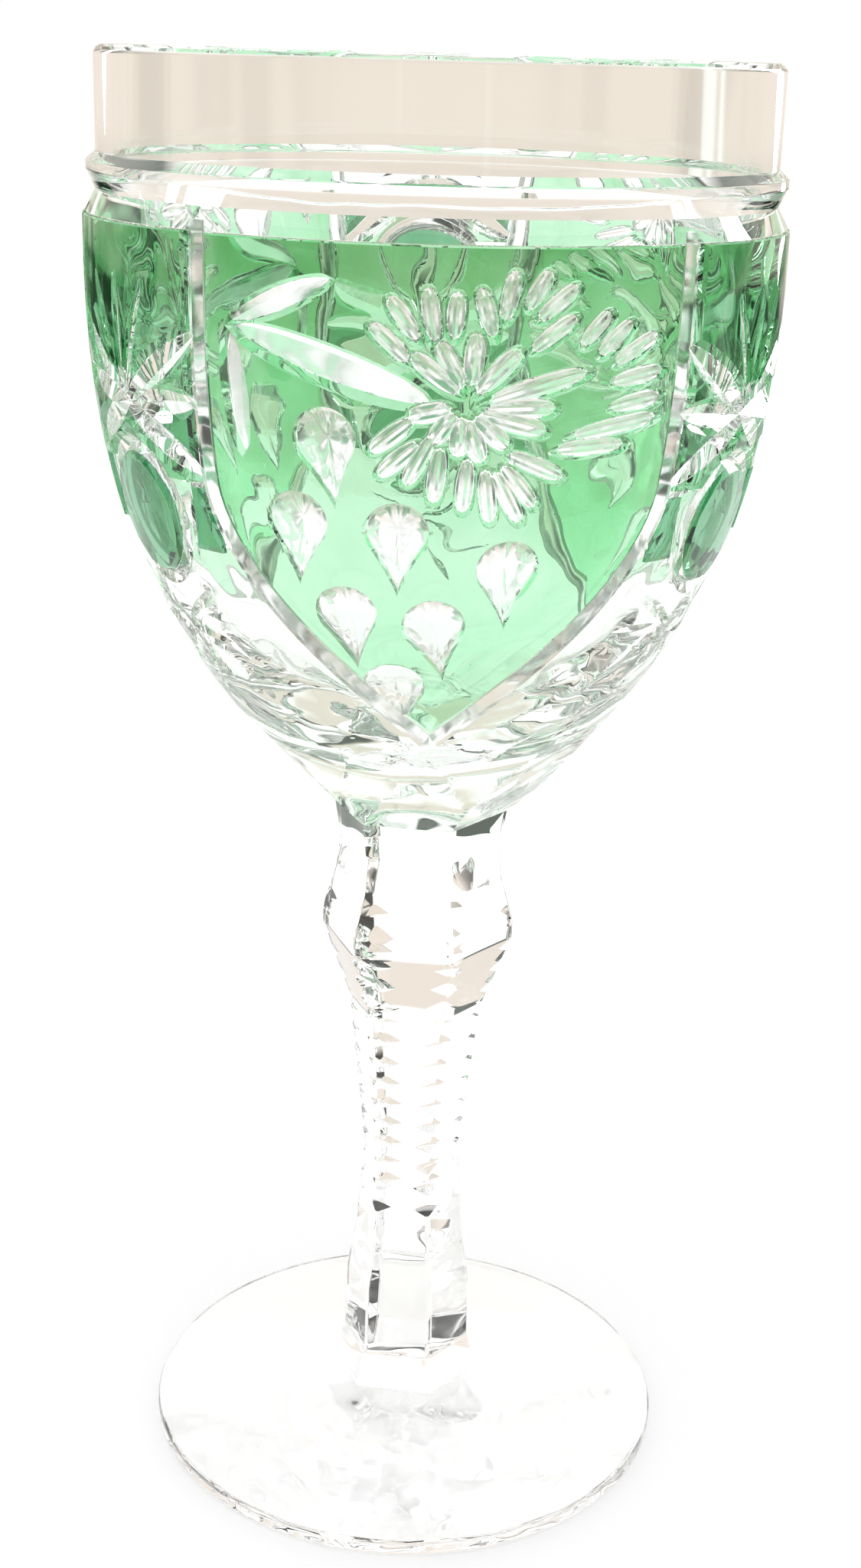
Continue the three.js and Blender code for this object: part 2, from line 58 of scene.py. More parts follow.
Place = tuple[float, float]
Span = tuple[float, float]
Stroke = tuple[float, float, float, float]
Colour = tuple[float, float, float]
Stops = tuple[tuple[float, Colour], ...]
Ring = list[Vector]
Path = Callable[[float], Place]
Solid = bpy.types.Object
Socket = bpy.types.NodeSocket
Wire = Union[Socket, float, Sequence[float]]

MM = 0.001  # a millimetre in metres
SHARP_ANGLE = 22.0  # an edge that folds more is shaded sharp
LEAST_FOLD = 0.03  # an edge that folds less, in radians, is left as it is
LEVEL = 0.9  # a face is level if its normal's upright part is larger
TOUCH = 0.01  # heights that are nearer count as the same
WELD = 1e-4  # corners that are nearer become one
UP = Vector((0.0, 0.0, 1.0))
BLACK: Colour = (0.0, 0.0, 0.0)
WHITE: Colour = (1.0, 1.0, 1.0)


class Work(Enum):
    """How one solid works on another."""

    CUT = "DIFFERENCE"
    JOIN = "UNION"
    KEEP = "INTERSECT"


class Face(Enum):
    """What a face of the glass is, as the number of its material."""

    POLISHED = 0
    MELTED = 1
    GROUND = 2


class Maths(Enum):
    """What a Math node works out."""

    SUM = "ADD"
    PRODUCT = "MULTIPLY"
    PRODUCT_SUM = "MULTIPLY_ADD"
    SIZE = "ABSOLUTE"
    LARGER = "MAXIMUM"
    IS_OVER = "GREATER_THAN"


class Blend(Enum):
    """How a Mix node lays one colour over another."""

    COVER = "MIX"
    TINT = "MULTIPLY"
    LIGHTER = "LIGHTEN"


def polar(radius: float, azimuth: float, z: float = 0.0) -> Vector:
    """A point by its distance from the axis, its azimuth and its height."""
    turn = math.radians(azimuth)
    return Vector((radius * math.sin(turn), -radius * math.cos(turn), z))


def between(start: Place, end: Place, share: float) -> Place:
    """The place at a share of the way from a start to an end."""
    return start[0] + (end[0] - start[0]) * share, start[1] + (end[1] - start[1]) * share


def bezier(controls: Sequence[Place], share: float) -> Place:
    """A point of the curve that a row of control points draws.

    Args:
        controls: The control points, from the curve's start to its end.
        share: How far along the curve the point lies.

    Returns:
        The point.
    """
    top = len(controls) - 1
    weights = [math.comb(top, i) * (1.0 - share) ** (top - i) * share**i for i in range(top + 1)]
    return tuple(sum(weight * control[k] for weight, control in zip(weights, controls)) for k in (0, 1))


def within(place: Place, outline: Sequence[Place]) -> bool:
    """Tells whether a place lies inside an outline.

    Args:
        place: Azimuth and height of the place.
        outline: Azimuth and height of each corner of the outline.

    Returns:
        Whether it lies inside.
    """
    inside = False
    for (x0, y0), (x1, y1) in zip(outline, (*outline[1:], outline[0])):
        if (y0 > place[1]) != (y1 > place[1]):
            inside ^= place[0] < x0 + (x1 - x0) * (place[1] - y0) / (y1 - y0)
    return inside


def deselect() -> None:
    """Leaves edit mode and deselects every object."""
    if bpy.context.object is not None and bpy.context.object.mode != "OBJECT":
        bpy.ops.object.mode_set(mode="OBJECT")
    bpy.ops.object.select_all(action="DESELECT")


def take(piece: Solid) -> None:
    """Makes a piece the only one that is selected, and the active one.

    Args:
        piece: The piece.
    """
    deselect()
    piece.select_set(True)
    bpy.context.view_layer.objects.active = piece


def named(piece: Solid, name: str) -> Solid:
    """Names a piece and its mesh alike.

    Args:
        piece: The piece.
        name: The name of both.

    Returns:
        The same piece.
    """
    piece.name = name
    piece.data.name = name
    return piece


def place_selected(piece: Solid, ring: Sequence[Vector]) -> None:
    """Moves the selected corners of a mesh in edit mode to a ring of points.

    Args:
        piece: The object in edit mode, whose corners carry their number in the layer "order".
        ring: Where the corners go, by number.
    """
    mesh = bmesh.from_edit_mesh(piece.data)
    order = mesh.verts.layers.int["order"]
    for corner in mesh.verts:
        if corner.select:
            corner.co = ring[corner[order]]
    bmesh.update_edit_mesh(piece.data)


def swept(name: str, rings: Sequence[Sequence[Vector]]) -> Solid:
    """Makes a closed body by extruding a first face through rings of points.

    Args:
        name: The body's name.
        rings: Rings of points, all of the same length.

    Returns:
        The closed body, with its faces pointing outwards.
    """
    deselect()
    bpy.ops.mesh.primitive_circle_add(vertices=len(rings[0]), fill_type="NGON")
    body = named(bpy.context.object, name)
    bpy.ops.object.mode_set(mode="EDIT")
    mesh = bmesh.from_edit_mesh(body.data)
    order = mesh.verts.layers.int.new("order")
    for number, corner in enumerate(mesh.verts):
        corner[order] = number
    place_selected(body, rings[0])
    for ring in rings[1:]:
        bpy.ops.mesh.extrude_region_move()
        place_selected(body, ring)
    bpy.ops.mesh.select_all(action="SELECT")
    bpy.ops.mesh.normals_make_consistent(inside=False)
    bpy.ops.object.mode_set(mode="OBJECT")
    return body


def spun(name: str, profile: Sequence[Place], steps: int, turn: float = 0.0) -> Solid:
    """Turns a profile about the upright axis.

    Args:
        name: The body's name.
        profile: Pairs of radius and height, from the axis or back to the first point.
        steps: How many steps the full turn has.
        turn: Azimuth of the first step.

    Returns:
        The turned body, with its faces pointing outwards.
    """
    deselect()
    bpy.ops.mesh.primitive_plane_add(size=1.0)
    body = named(bpy.context.object, name)
    bpy.ops.object.mode_set(mode="EDIT")
    bpy.ops.mesh.merge(type="CENTER")
    mesh = bmesh.from_edit_mesh(body.data)
    mesh.verts.layers.int.new("order")
    heading = polar(1.0, turn)
    for number, (radius, height) in enumerate(profile):
        if number:
            bpy.ops.mesh.extrude_region_move()
        place_selected(body, [heading * radius + UP * height])
    bpy.ops.mesh.select_all(action="SELECT")
    bpy.ops.mesh.spin(steps=steps, angle=math.tau, center=(0.0, 0.0, 0.0), axis=UP)
    bpy.ops.mesh.select_all(action="SELECT")
    bpy.ops.mesh.remove_doubles(threshold=WELD)
    bpy.ops.mesh.select_all(action="SELECT")
    bpy.ops.mesh.normals_make_consistent(inside=False)
    bpy.ops.object.mode_set(mode="OBJECT")
    return body


def rounded(solid: Solid, width: float, ends: Sequence[float]) -> Solid:
    """Rounds the sharp edges of a solid.

    Args:
        solid: The solid.
        width: How far the rounding reaches from each edge.
        ends: Heights of the end faces, whose rims stay sharp.

    Returns:
        The same solid.
    """
    take(solid)
    bpy.ops.object.mode_set(mode="EDIT")
    bpy.ops.mesh.select_all(action="DESELECT")
    bpy.ops.mesh.select_mode(type="EDGE")
    mesh = bmesh.from_edit_mesh(solid.data)
    for edge in mesh.edges:
        flat = any(all(abs(corner.co.z - z) < TOUCH for corner in edge.verts) for z in ends)
        edge.select_set(not flat and len(edge.link_faces) == 2 and edge.calc_face_angle() > LEAST_FOLD)
    bmesh.update_edit_mesh(solid.data)
    bpy.ops.mesh.bevel(offset=width, segments=3, profile=0.5, clamp_overlap=True)
    bpy.ops.mesh.select_mode(type="VERT")
    bpy.ops.object.mode_set(mode="OBJECT")
    return solid


def turned_copy(piece: Solid, name: str, turn: float) -> Solid:
    """Copies a piece with its own mesh, turned about the upright axis.

    Args:
        piece: The piece.
        name: The copy's name.
        turn: How far the copy is turned.

    Returns:
        The copy.
    """
    copy = piece.copy()
    copy.data = piece.data.copy()
    bpy.context.scene.collection.objects.link(copy)
    copy.data.transform(Matrix.Rotation(math.radians(turn), 4, "Z"))
    return named(copy, name)


def marked(piece: Solid, kind: Face) -> Solid:
    """Marks every face of a solid as of one kind, which a Boolean modifier carries over to what it cuts.

    Args:
        piece: The solid.
        kind: What its faces are.

    Returns:
        The same solid, with one placeholder material for each kind of face.
    """
    for each in Face:
        piece.data.materials.append(bpy.data.materials.get(each.name) or bpy.data.materials.new(each.name))
    for face in piece.data.polygons:
        face.material_index = kind.value
    return piece


def worked(target: Solid, tool: Solid, work: Work) -> Solid:
    """Works one solid on another with an applied Boolean modifier, and uses the tool up.

    Args:
        target: The solid that is changed.
        tool: The solid that works on it.
        work: How it works on it.

    Returns:
        The changed solid.
    """
    take(target)
    modifier = target.modifiers.new(work.name, "BOOLEAN")
    modifier.operation = work.value
    modifier.solver = "MANIFOLD"
    modifier.object = tool
    bpy.ops.object.modifier_apply(modifier=modifier.name)
    bpy.data.objects.remove(tool)
    return target


def united(name: str, tools: Iterable[Solid]) -> Solid:
    """Joins overlapping tools into one solid.

    Args:
        name: The solid's name.
        tools: The tools, which are used up.

    Returns:
        The one solid.
    """
    first, *rest = tools
    for tool in rest:
        worked(first, tool, Work.JOIN)
    return named(first, name)


def fused(piece: Solid, touches: Callable[[Vector, Vector], bool]) -> None:
    """Marks the faces where a piece is melted to its neighbour.

    Args:
        piece: The piece.
        touches: Tells from a face's middle and normal whether it lies in the joint.
    """
    count = 0
    for face in piece.data.polygons:
        if touches(face.center, face.normal):
            face.material_index = Face.MELTED.value
            count += 1
    log.info("%s: %d faces are fused", piece.name, count)


def level_at(middle: Vector, normal: Vector, *heights: float) -> bool:
    """Whether a face is level and lies at one of the heights."""
    return abs(normal.z) > LEVEL and min(abs(middle.z - z) for z in heights) < TOUCH


@dataclass(frozen=True)
class Graph:
    """The nodes of a material, a group or the world, with short ways to add them and wire them up."""

    tree: bpy.types.NodeTree

    def wire(self, entry: Socket, value: Wire) -> None:
        """Puts another node's output, or a fixed value, into an input.

        Args:
            entry: The input.
            value: The output or the value.
        """
        if isinstance(value, Socket):
            self.tree.links.new(value, entry)
        else:
            entry.default_value = value

    def node(self, kind: str, inputs: dict[str, Wire] | None = None) -> bpy.types.Node:
        """Adds a node.

        Args:
            kind: The end of its type's name, such as Mapping.
            inputs: What goes into its inputs, by their names.

        Returns:
            The node.
        """
        node = self.tree.nodes.new(f"ShaderNode{kind}")
        for name, value in (inputs or {}).items():
            self.wire(node.inputs[name], value)
        return node

    def maths(self, work: Maths, *values: Wire) -> Socket:
        """Adds a Math node.

        Args:
            work: What it works out.
            values: What goes into it.

        Returns:
            Its output.
        """
        node = self.node("Math")
        node.operation = work.value
        for entry, value in zip(node.inputs, values):
            self.wire(entry, value)
        return node.outputs[0]

    def ranged(self, value: Wire, span: Sequence[Wire], to: Span = (0.0, 1.0), soft: bool = False) -> Socket:
        """Adds a Map Range node.

        Args:
            value: What goes into it.
            span: The values that give the first and the last result.
            to: The first and the last result.
            soft: Whether the result starts and ends softly.

        Returns:
            Its output.
        """
        names = ("Value", "From Min", "From Max", "To Min", "To Max")
        node = self.node("MapRange", dict(zip(names, (value, *span, *to))))
        node.interpolation_type = "SMOOTHSTEP" if soft else "LINEAR"
        return node.outputs["Result"]

    def mixed(self, blend: Blend, share: Wire, first: Wire, second: Wire) -> Socket:
        """Adds a Mix node for two colours.

        Args:
            blend: How the second is laid over the first.
            share: How much of the second shows.
            first: The first colour.
            second: The second colour.

        Returns:
            The mixed colour.
        """
        mix = self.node("Mix")
        mix.data_type = "RGBA"
        mix.blend_type = blend.value
        colours = [entry for entry in mix.inputs if entry.type == "RGBA"]
        for entry, value in zip((mix.inputs[0], *colours), (share, first, second)):
            self.wire(entry, value)
        return next(result for result in mix.outputs if result.type == "RGBA")

    def ramp(self, value: Wire, stops: Stops) -> Socket:
        """Colours a value that runs from -1 to 1.

        Args:
            value: The value.
            stops: Values and their colours, from the lowest.

        Returns:
            The colour.
        """
        ramp = self.node("ValToRGB", {"Fac": self.ranged(value, (-1.0, 1.0))})
        elements = ramp.color_ramp.elements
        while len(elements) > 1:
            elements.remove(elements[-1])
        for number, (position, colour) in enumerate(stops):
            element = elements[0] if number == 0 else elements.new((position + 1) / 2)
            element.position = (position + 1) / 2
            element.color = (*colour, 1.0)
        return ramp.outputs["Color"]


@dataclass(frozen=True)
class BlownSurface:
    """The node group that all the glass shares: soft waves, faint smudges, and a colour that varies at random
    and turns towards the thin colour lower down as painted light.

    Its inputs are the colour of thick and of thin glass, the scale of the waves, the height where they end, a
    roughness all over, and the tint low on the bowl. Heights are metres above the table.
    """

    name: str = "blown_surface"
    inputs: tuple[tuple[str, str], ...] = (
        ("Thick", "Color"),
        ("Thin", "Color"),
        ("Scale", "Float"),
        ("Top", "Float"),
        ("Grain", "Float"),
        ("Low", "Color"),
    )
    outputs: tuple[tuple[str, str], ...] = (("Color", "Color"), ("Height", "Float"), ("Roughness", "Float"))
    wave_detail: float = 1.5
    calm_from: float = 0.150
    cloud_stretch: tuple[float, float, float] = (1.0, 1.0, 0.45)
    cloud_scale: float = 75.0
    cloud_detail: float = 2.5
    cloud_distortion: float = 0.8
    smudge_range: Span = (0.5, 0.8)
    smudge_roughness: float = 0.05
    # heights over which painted light turns the colour towards the paler thin colour, going downwards
    painted_light_range: Span = (0.150, 0.105)
    cloud_gain: float = 2.6
    thin_range: Span = (1.0, 2.1)
    low_range: Span = (0.116, 0.100)
    bowl_foot: float = 0.0821

    def group(self) -> bpy.types.NodeTree:
        """The group, which is built the first time it is asked for.

        Returns:
            The group.
        """
        found = bpy.data.node_groups.get(self.name)
        if found is not None:
            return found
        tree = bpy.data.node_groups.new(self.name, "ShaderNodeTree")
        for way, sockets in (("INPUT", self.inputs), ("OUTPUT", self.outputs)):
            for name, kind in sockets:
                tree.interface.new_socket(name, in_out=way, socket_type=f"NodeSocket{kind}")
        graph = Graph(tree)
        given, end = tree.nodes.new("NodeGroupInput").outputs, tree.nodes.new("NodeGroupOutput").inputs
        place = graph.node("TexCoord").outputs["Object"]
        z = graph.node("SeparateXYZ", {"Vector": place}).outputs["Z"]

        waves = graph.node("TexNoise", {"Vector": place, "Scale": given["Scale"], "Detail": self.wave_detail})
        calm = graph.ranged(z, (self.calm_from, given["Top"]), (1.0, 0.0), soft=True)
        graph.wire(end["Height"], graph.maths(Maths.PRODUCT, waves.outputs["Fac"], calm))

        cloud_inputs = {
            "Vector": graph.node("Mapping", {"Vector": place, "Scale": self.cloud_stretch}).outputs["Vector"],
            "Scale": self.cloud_scale,
            "Detail": self.cloud_detail,
            "Distortion": self.cloud_distortion,
        }
        clouds = graph.node("TexNoise", cloud_inputs).outputs["Fac"]
        smudges = graph.ranged(clouds, self.smudge_range, (0.0, self.smudge_roughness))
        graph.wire(end["Roughness"], graph.maths(Maths.SUM, smudges, given["Grain"]))

        # painted light: from the top of this span downwards the colour turns towards the paler thin colour,
        # as if lit from below; the clouds add thin places at random
        painted_light_below = graph.ranged(z, self.painted_light_range)
        thinness_and_light = graph.maths(Maths.PRODUCT_SUM, clouds, self.cloud_gain, painted_light_below)
        thin = graph.ranged(thinness_and_light, self.thin_range)
        colour = graph.mixed(Blend.COVER, thin, given["Thick"], given["Thin"])
        on_bowl = graph.maths(Maths.IS_OVER, z, self.bowl_foot)
        low = graph.maths(Maths.PRODUCT, graph.ranged(z, self.low_range, soft=True), on_bowl)
        graph.wire(end["Color"], graph.mixed(Blend.TINT, low, colour, given["Low"]))
        return tree


@dataclass(frozen=True)
class Glass:
    """Glass with the soft waves of blown glass, and a colour that runs from thick to thin places at random
    and turns paler lower down as painted light.
    """

    thick: Colour
    thin: Colour
    low: Colour = WHITE
    grain: float = 0.0
    bend: float = 1.53
    wave_scale: float = 60.0
    wave_height: float = 0.0016
    wave_top: float = 0.164

    def build(self, name: str) -> bpy.types.Material:
        """Makes the material.

        Args:
            name: Its name.

        Returns:
            The material.
        """
        material = bpy.data.materials.new(name)
        material.use_nodes = True
        graph = Graph(material.node_tree)
        shader = material.node_tree.nodes["Principled BSDF"].inputs
        surface = graph.node("Group")
        surface.node_tree = BlownSurface().group()
        for entry, colour in (("Thick", self.thick), ("Thin", self.thin), ("Low", self.low)):
            graph.wire(surface.inputs[entry], (*colour, 1.0))
        for entry, value in (("Scale", self.wave_scale), ("Top", self.wave_top), ("Grain", self.grain)):
            graph.wire(surface.inputs[entry], value)
        bump = graph.node("Bump", {"Height": surface.outputs["Height"], "Distance": self.wave_height})
        graph.wire(shader["Base Color"], surface.outputs["Color"])
        graph.wire(shader["Roughness"], surface.outputs["Roughness"])
        graph.wire(shader["Normal"], bump.outputs["Normal"])
        graph.wire(shader["IOR"], self.bend)
        graph.wire(shader["Transmission Weight"], 1.0)
        return material


@dataclass(frozen=True)
class MeltedJoint:
    """A joint where two pieces of glass are melted together, so that light goes straight on."""

    name: str = "melted_joint"

    def build(self) -> bpy.types.Material:
        """Makes the material.

        Returns:
            The material.
        """
        material = bpy.data.materials.new(self.name)
        material.use_nodes = True
        nodes = material.node_tree.nodes
        nodes.remove(nodes["Principled BSDF"])
        passing = nodes.new("ShaderNodeBsdfTransparent")
        Graph(material.node_tree).wire(nodes["Material Output"].inputs["Surface"], passing.outputs["BSDF"])
        return material


@dataclass(frozen=True)
class PaleFloor:
    """A dull pale floor with a glow of its own, a little stronger where glass shows it."""

    name: str = "pale_floor"
    colour: Colour = (0.5, 0.5, 0.5)
    glow: float = 0.53
    gain: float = 0.22

    def build(self) -> bpy.types.Material:
        """Makes the material.

        Returns:
            The material.
        """
        material = bpy.data.materials.new(self.name)
        material.use_nodes = True
        graph = Graph(material.node_tree)
        shader = material.node_tree.nodes["Principled BSDF"].inputs
        graph.wire(shader["Base Color"], (*self.colour, 1.0))
        graph.wire(shader["Roughness"], 1.0)
        graph.wire(shader["Specular IOR Level"], 0.0)
        graph.wire(shader["Emission Color"], (*WHITE, 1.0))
        bent = graph.node("LightPath").outputs["Is Transmission Ray"]
        graph.wire(shader["Emission Strength"], graph.maths(Maths.PRODUCT_SUM, bent, self.gain, self.glow))
        return material


class Finish(Enum):
    """The finishes of the glass: clear, four greens that let different amounts of light through, and ground.
    The column green is deeper than the panel green, partly as painted shade, and a paler copy of it on the
    rear column is painted light.
    """

    CLEAR_CRYSTAL = Glass(thick=(0.97, 0.98, 0.97), thin=(0.985, 0.988, 0.983), low=(0.88, 0.965, 0.9))
    GREEN_PANEL = Glass(thick=(0.13, 0.54, 0.18), thin=(0.3, 0.78, 0.4))
    # deeper than the panel green, partly as painted shade on the columns
    GREEN_COLUMN = Glass(thick=(0.06, 0.36, 0.11), thin=(0.17, 0.58, 0.24))
    GREEN_LENS = Glass(thick=(0.015, 0.15, 0.04), thin=(0.04, 0.24, 0.08))
    # painted light: a paler copy of the column green for the rear column's crown and arch
    GREEN_PALE = Glass(thick=(0.22, 0.62, 0.27), thin=(0.42, 0.82, 0.5))
    GROUND_CRYSTAL = Glass(thick=(0.97, 0.985, 0.975), thin=(0.995, 0.998, 0.995), grain=0.18)


class Wardrobe:
    """The materials of the glass, each made once, which dress the finished pieces."""

    def __init__(self) -> None:
        """Makes the materials."""
        self.finishes: dict[Finish, bpy.types.Material] = {}
        for finish in Finish:
            self.finishes[finish] = finish.value.build(finish.name.lower())
        self.joint: bpy.types.Material = MeltedJoint().build()

    def dress(self, piece: Solid, node: str, finish: Finish) -> None:
        """Puts a finished piece into metres, smooths and dresses it, and lets it stand for a CAD node.

        Args:
            piece: The finished piece, in millimetres.
            node: The CAD node's name.
            finish: The finish of its polished faces.
        """
        take(piece)
        piece.scale = (MM, MM, MM)
        bpy.ops.object.transform_apply(location=True, rotation=True, scale=True)
        bpy.ops.object.shade_smooth_by_angle(angle=math.radians(SHARP_ANGLE))
        modifier = piece.modifiers.new("weighted", "WEIGHTED_NORMAL")
        modifier.keep_sharp = True
        bpy.ops.object.modifier_apply(modifier=modifier.name)
        named(piece, f"{node}_glass")
        clear = finish is Finish.CLEAR_CRYSTAL
        ground = self.finishes[Finish.GROUND_CRYSTAL if clear else finish]
        indices = [face.material_index for face in piece.data.polygons]
        piece.data.materials.clear()
        for material in (self.finishes[finish], self.joint, ground)[: max(indices) + 1]:
            piece.data.materials.append(material)
        piece.data.polygons.foreach_set("material_index", indices)
        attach(piece, "root")
        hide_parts(node)
        log.info("%s: %d faces", piece.name, len(piece.data.polygons))


@dataclass(frozen=True)
class BowlLine:
    """The bowl's outer line, and places on its surface."""

    neck_z: float = 82.0
    rim_z: float = 175.0
    base_radius: float = 10.9
    flare_radius: float = 17.4
    flare_height: float = 17.0
    shoulder_height: float = 23.5
    widest_drop: float = 21.0
    radius: float = 39.9
    halvings: int = 32
    probe: float = 0.2

    def point(self, share: float) -> Place:
        """Finds a point of the curved part.

        Args:
            share: How far up the curve the point lies.

        Returns:
            Its radius and height.
        """
        controls = (
            (self.base_radius, self.neck_z),
            (self.flare_radius, self.neck_z + self.flare_height),
            (self.radius, self.neck_z + self.shoulder_height),
            (self.radius, self.rim_z - self.widest_drop),
        )
        return bezier(controls, share)

    def radius_at(self, z: float) -> float:
        """Finds the radius of the outer line by halving.

        Args:
            z: The height.

        Returns:
            The radius there.
        """
        if z >= self.rim_z - self.widest_drop:
            return self.radius
        low, high = 0.0, 1.0
        for _ in range(self.halvings):
            middle = (low + high) / 2
            if self.point(middle)[1] < z:
                low = middle
            else:
                high = middle
        return self.point(low)[0]

    def lean_at(self, z: float) -> float:
        """How far the outer line leans out for each unit of height."""
        return (self.radius_at(z + self.probe) - self.radius_at(z - self.probe)) / (2 * self.probe)

    def place(self, azimuth: float, z: float, lift: float = 0.0) -> Vector:
        """Finds a point over the outer surface.

        Args:
            azimuth: Its azimuth.
            z: The height of the surface under it.
            lift: How far it lies from the surface, along the surface's normal.

        Returns:
            The point.
        """
        lean = self.lean_at(z)
        length = math.hypot(1.0, lean)
        return polar(self.radius_at(z) + lift / length, azimuth, z - lift * lean / length)


@dataclass(frozen=True)
class WheelCut:
    """One kind of cut: its width and depth, where its valley lies between its flanks, and how it is ground.

    An even cut is as deep at its ends as in its middle. The flanks may be ground in several fine lines.
    """

    width: float
    depth: float
    valley: float = 0.0
    fullness: float = 0.7
    stations: int = 12
    face: Face = Face.POLISHED
    lines: int = 1
    line_depth: float = 0.06
    even: bool = False

    def depth_at(self, share: float) -> float:
        """The depth at a share of the cut's length."""
        return self.depth if self.even else self.depth * max(0.0, 1 - (2 * share - 1) ** 2) ** self.fullness


@dataclass(frozen=True)
class Grape:
    """A drop-shaped hollow, round above and pointed below, with fine lines that fan out from its point."""

    radius: float = 3.35
    tip: float = 7.3
    waist: float = 1.25
    depth: float = 1.4
    mouth: float = 1.12
    hollow: tuple[Place, ...] = ((1.0, 0.0), (0.93, 0.5), (0.8, 0.78), (0.6, 0.94), (0.35, 1.0), (0.08, 1.02))
    flank_corners: int = 10
    head_corners: int = 40
    fan_reach: float = 1.5
    line_angle: float = 6.5
    line_depth: float = 0.07
    face: Face = Face.GROUND

    def outline(self) -> list[Place]:
        """Draws the hollow's mouth.

        Returns:
            Its corners, each across the hollow and down from the middle of its head.
        """
        meeting = math.acos(self.radius / self.tip)
        tangent = (self.radius * math.sin(meeting), self.radius * math.cos(meeting))
        shares = [i / self.flank_corners for i in range(self.flank_corners)]
        flank = [(tangent[0] * s**self.waist, self.tip + (tangent[1] - self.tip) * s) for s in shares]
        steps = range(self.head_corners + 1)
        angles = [meeting + (math.tau - 2 * meeting) * i / self.head_corners for i in steps]
        head = [(self.radius * math.sin(angle), self.radius * math.cos(angle)) for angle in angles]
        return [*flank, *head, *((-across, down) for across, down in reversed(flank[1:]))]

    def ripple(self, across: float, down: float) -> float:
        """How much deeper the lines make the hollow at a point of its outline."""
        fan = math.degrees(math.atan2(across, self.tip + self.fan_reach - down))
        return self.line_depth * math.cos(math.tau * fan / self.line_angle)


@dataclass
class Cutter:
    """Makes the solids that cut the bowl, each along a path of azimuth and height on its surface."""

    line: BowlLine
    lift: float = 0.8
    probe: float = 0.01
    olive_overrun: float = 0.06
    olive_bluntness: float = 0.85
    olive_roundness: float = 2.6
    olive_hollowness: float = 1.3
    olive_least_half: float = 0.06
    olive_mouth: float = 0.1
    olive_lines: int = 12
    olive_line_depth: float = 0.06
    made: int = 0

    def _name(self, kind: str) -> str:
        """A fresh name for a tool."""
        self.made += 1
        return f"tool_{kind}_{self.made}"

    def mitre(self, path: Path, kind: WheelCut) -> Solid:
        """Makes a cut of V section along a path.

        Args:
            path: Gives azimuth and height for a share of the way.
            kind: The cut's sizes.

        Returns:
            The tool.
        """
        rings: list[Ring] = []
        shares = [i / kind.lines for i in range(1, kind.lines)]
        for step in range(kind.stations + 1):
            u = step / kind.stations
            depth = kind.depth_at(u)
            here = self.line.place(*path(u))
            normal = self.line.place(*path(u), 1.0) - here
            ahead = self.line.place(*path(min(1.0, u + self.probe)))
            behind = self.line.place(*path(max(0.0, u - self.probe)))
            side = (ahead - behind).cross(normal).normalized()
            spread = (depth + self.lift) * kind.width / 2 / kind.depth
            top = here + normal * self.lift
            floor = here - normal * depth + side * (kind.valley * depth * kind.width / 2 / kind.depth)
            left, right = top - side * spread, top + side * spread
            ripple = normal * (kind.line_depth * depth / kind.depth)
            near, far = (
                [floor.lerp(edge, share) + ripple * (-1) ** i for i, share in enumerate(shares)]
                for edge in (left, right)
            )
            rings.append([floor, *near, left, right, *reversed(far)])
        return marked(swept(self._name("mitre"), rings), kind.face)

    def straight(self, start: Place, end: Place, kind: WheelCut) -> Solid:
        """A V cut between two places."""
        return self.mitre(lambda share: between(start, end, share), kind)

    def olive(self, start: Place, end: Place, kind: WheelCut) -> Solid:
        """Makes a short hollow cut of round section between two places, ground with fine lines along it.

        Args:
            start: Its blunt end.
            end: Its pointed end.
            kind: The cut's sizes.

        Returns:
            The tool.
        """
        rings: list[Ring] = []
        for step in range(kind.stations + 1):
            u = 0.5 - 0.5 * math.cos(math.pi * step / kind.stations)
            full = max(0.0, 1 - abs(2 * u**self.olive_bluntness - 1) ** self.olive_roundness) ** 0.5
            u = (1 + 2 * self.olive_overrun) * u - self.olive_overrun
            half = max(self.olive_least_half, kind.width / 2 * full)
            depth = kind.depth * full**self.olive_hollowness
            spot = between(start, end, u)
            here = self.line.place(*spot)
            normal = self.line.place(*spot, 1.0) - here
            along = self.line.place(*end) - self.line.place(*start)
            side = along.cross(normal).normalized()
            ring: Ring = []
            for i in range(self.olive_lines + 1):
                angle = math.pi * i / self.olive_lines
                sunk = depth * (1.0 + self.olive_line_depth * (-1) ** i * math.sin(angle)) * math.sin(angle)
                ring.append(here + side * (half * math.cos(angle)) - normal * sunk)
            for sign in (-1.0, 1.0):
                ring.append(here + normal * self.lift + side * (sign * (half + self.olive_mouth)))
            rings.append(ring)
        return marked(swept(self._name("olive"), rings), kind.face)

    def grape(self, centre: Place, tip: Place, kind: Grape) -> Solid:
        """Makes a grape's hollow.

        Args:
            centre: The middle of its round head.
            tip: A place towards which it points.
            kind: The grape's sizes.

        Returns:
            The tool.
        """
        azimuth, z = centre
        radius, slope = self.line.radius_at(z), math.hypot(1.0, self.line.lean_at(z))
        heading = math.atan2(math.radians(tip[0] - azimuth) * radius, (z - tip[1]) * slope)
        levels = [(kind.mouth, -self.lift), *((scale, share * kind.depth) for scale, share in kind.hollow)]
        rings: list[Ring] = []
        for scale, drop in levels:
            ring: Ring = []
            for across, down in kind.outline():
                x, y = scale * across, scale * down
                ripple = kind.ripple(x, y) if 0 < drop else 0.0
                side = x * math.cos(heading) + y * math.sin(heading)
                fall = y * math.cos(heading) - x * math.sin(heading)
                spot = (azimuth + math.degrees(side / radius), z - fall / slope)
                ring.append(self.line.place(*spot, -drop - ripple))
            rings.append(ring)
        return marked(swept(self._name("grape"), rings), kind.face)


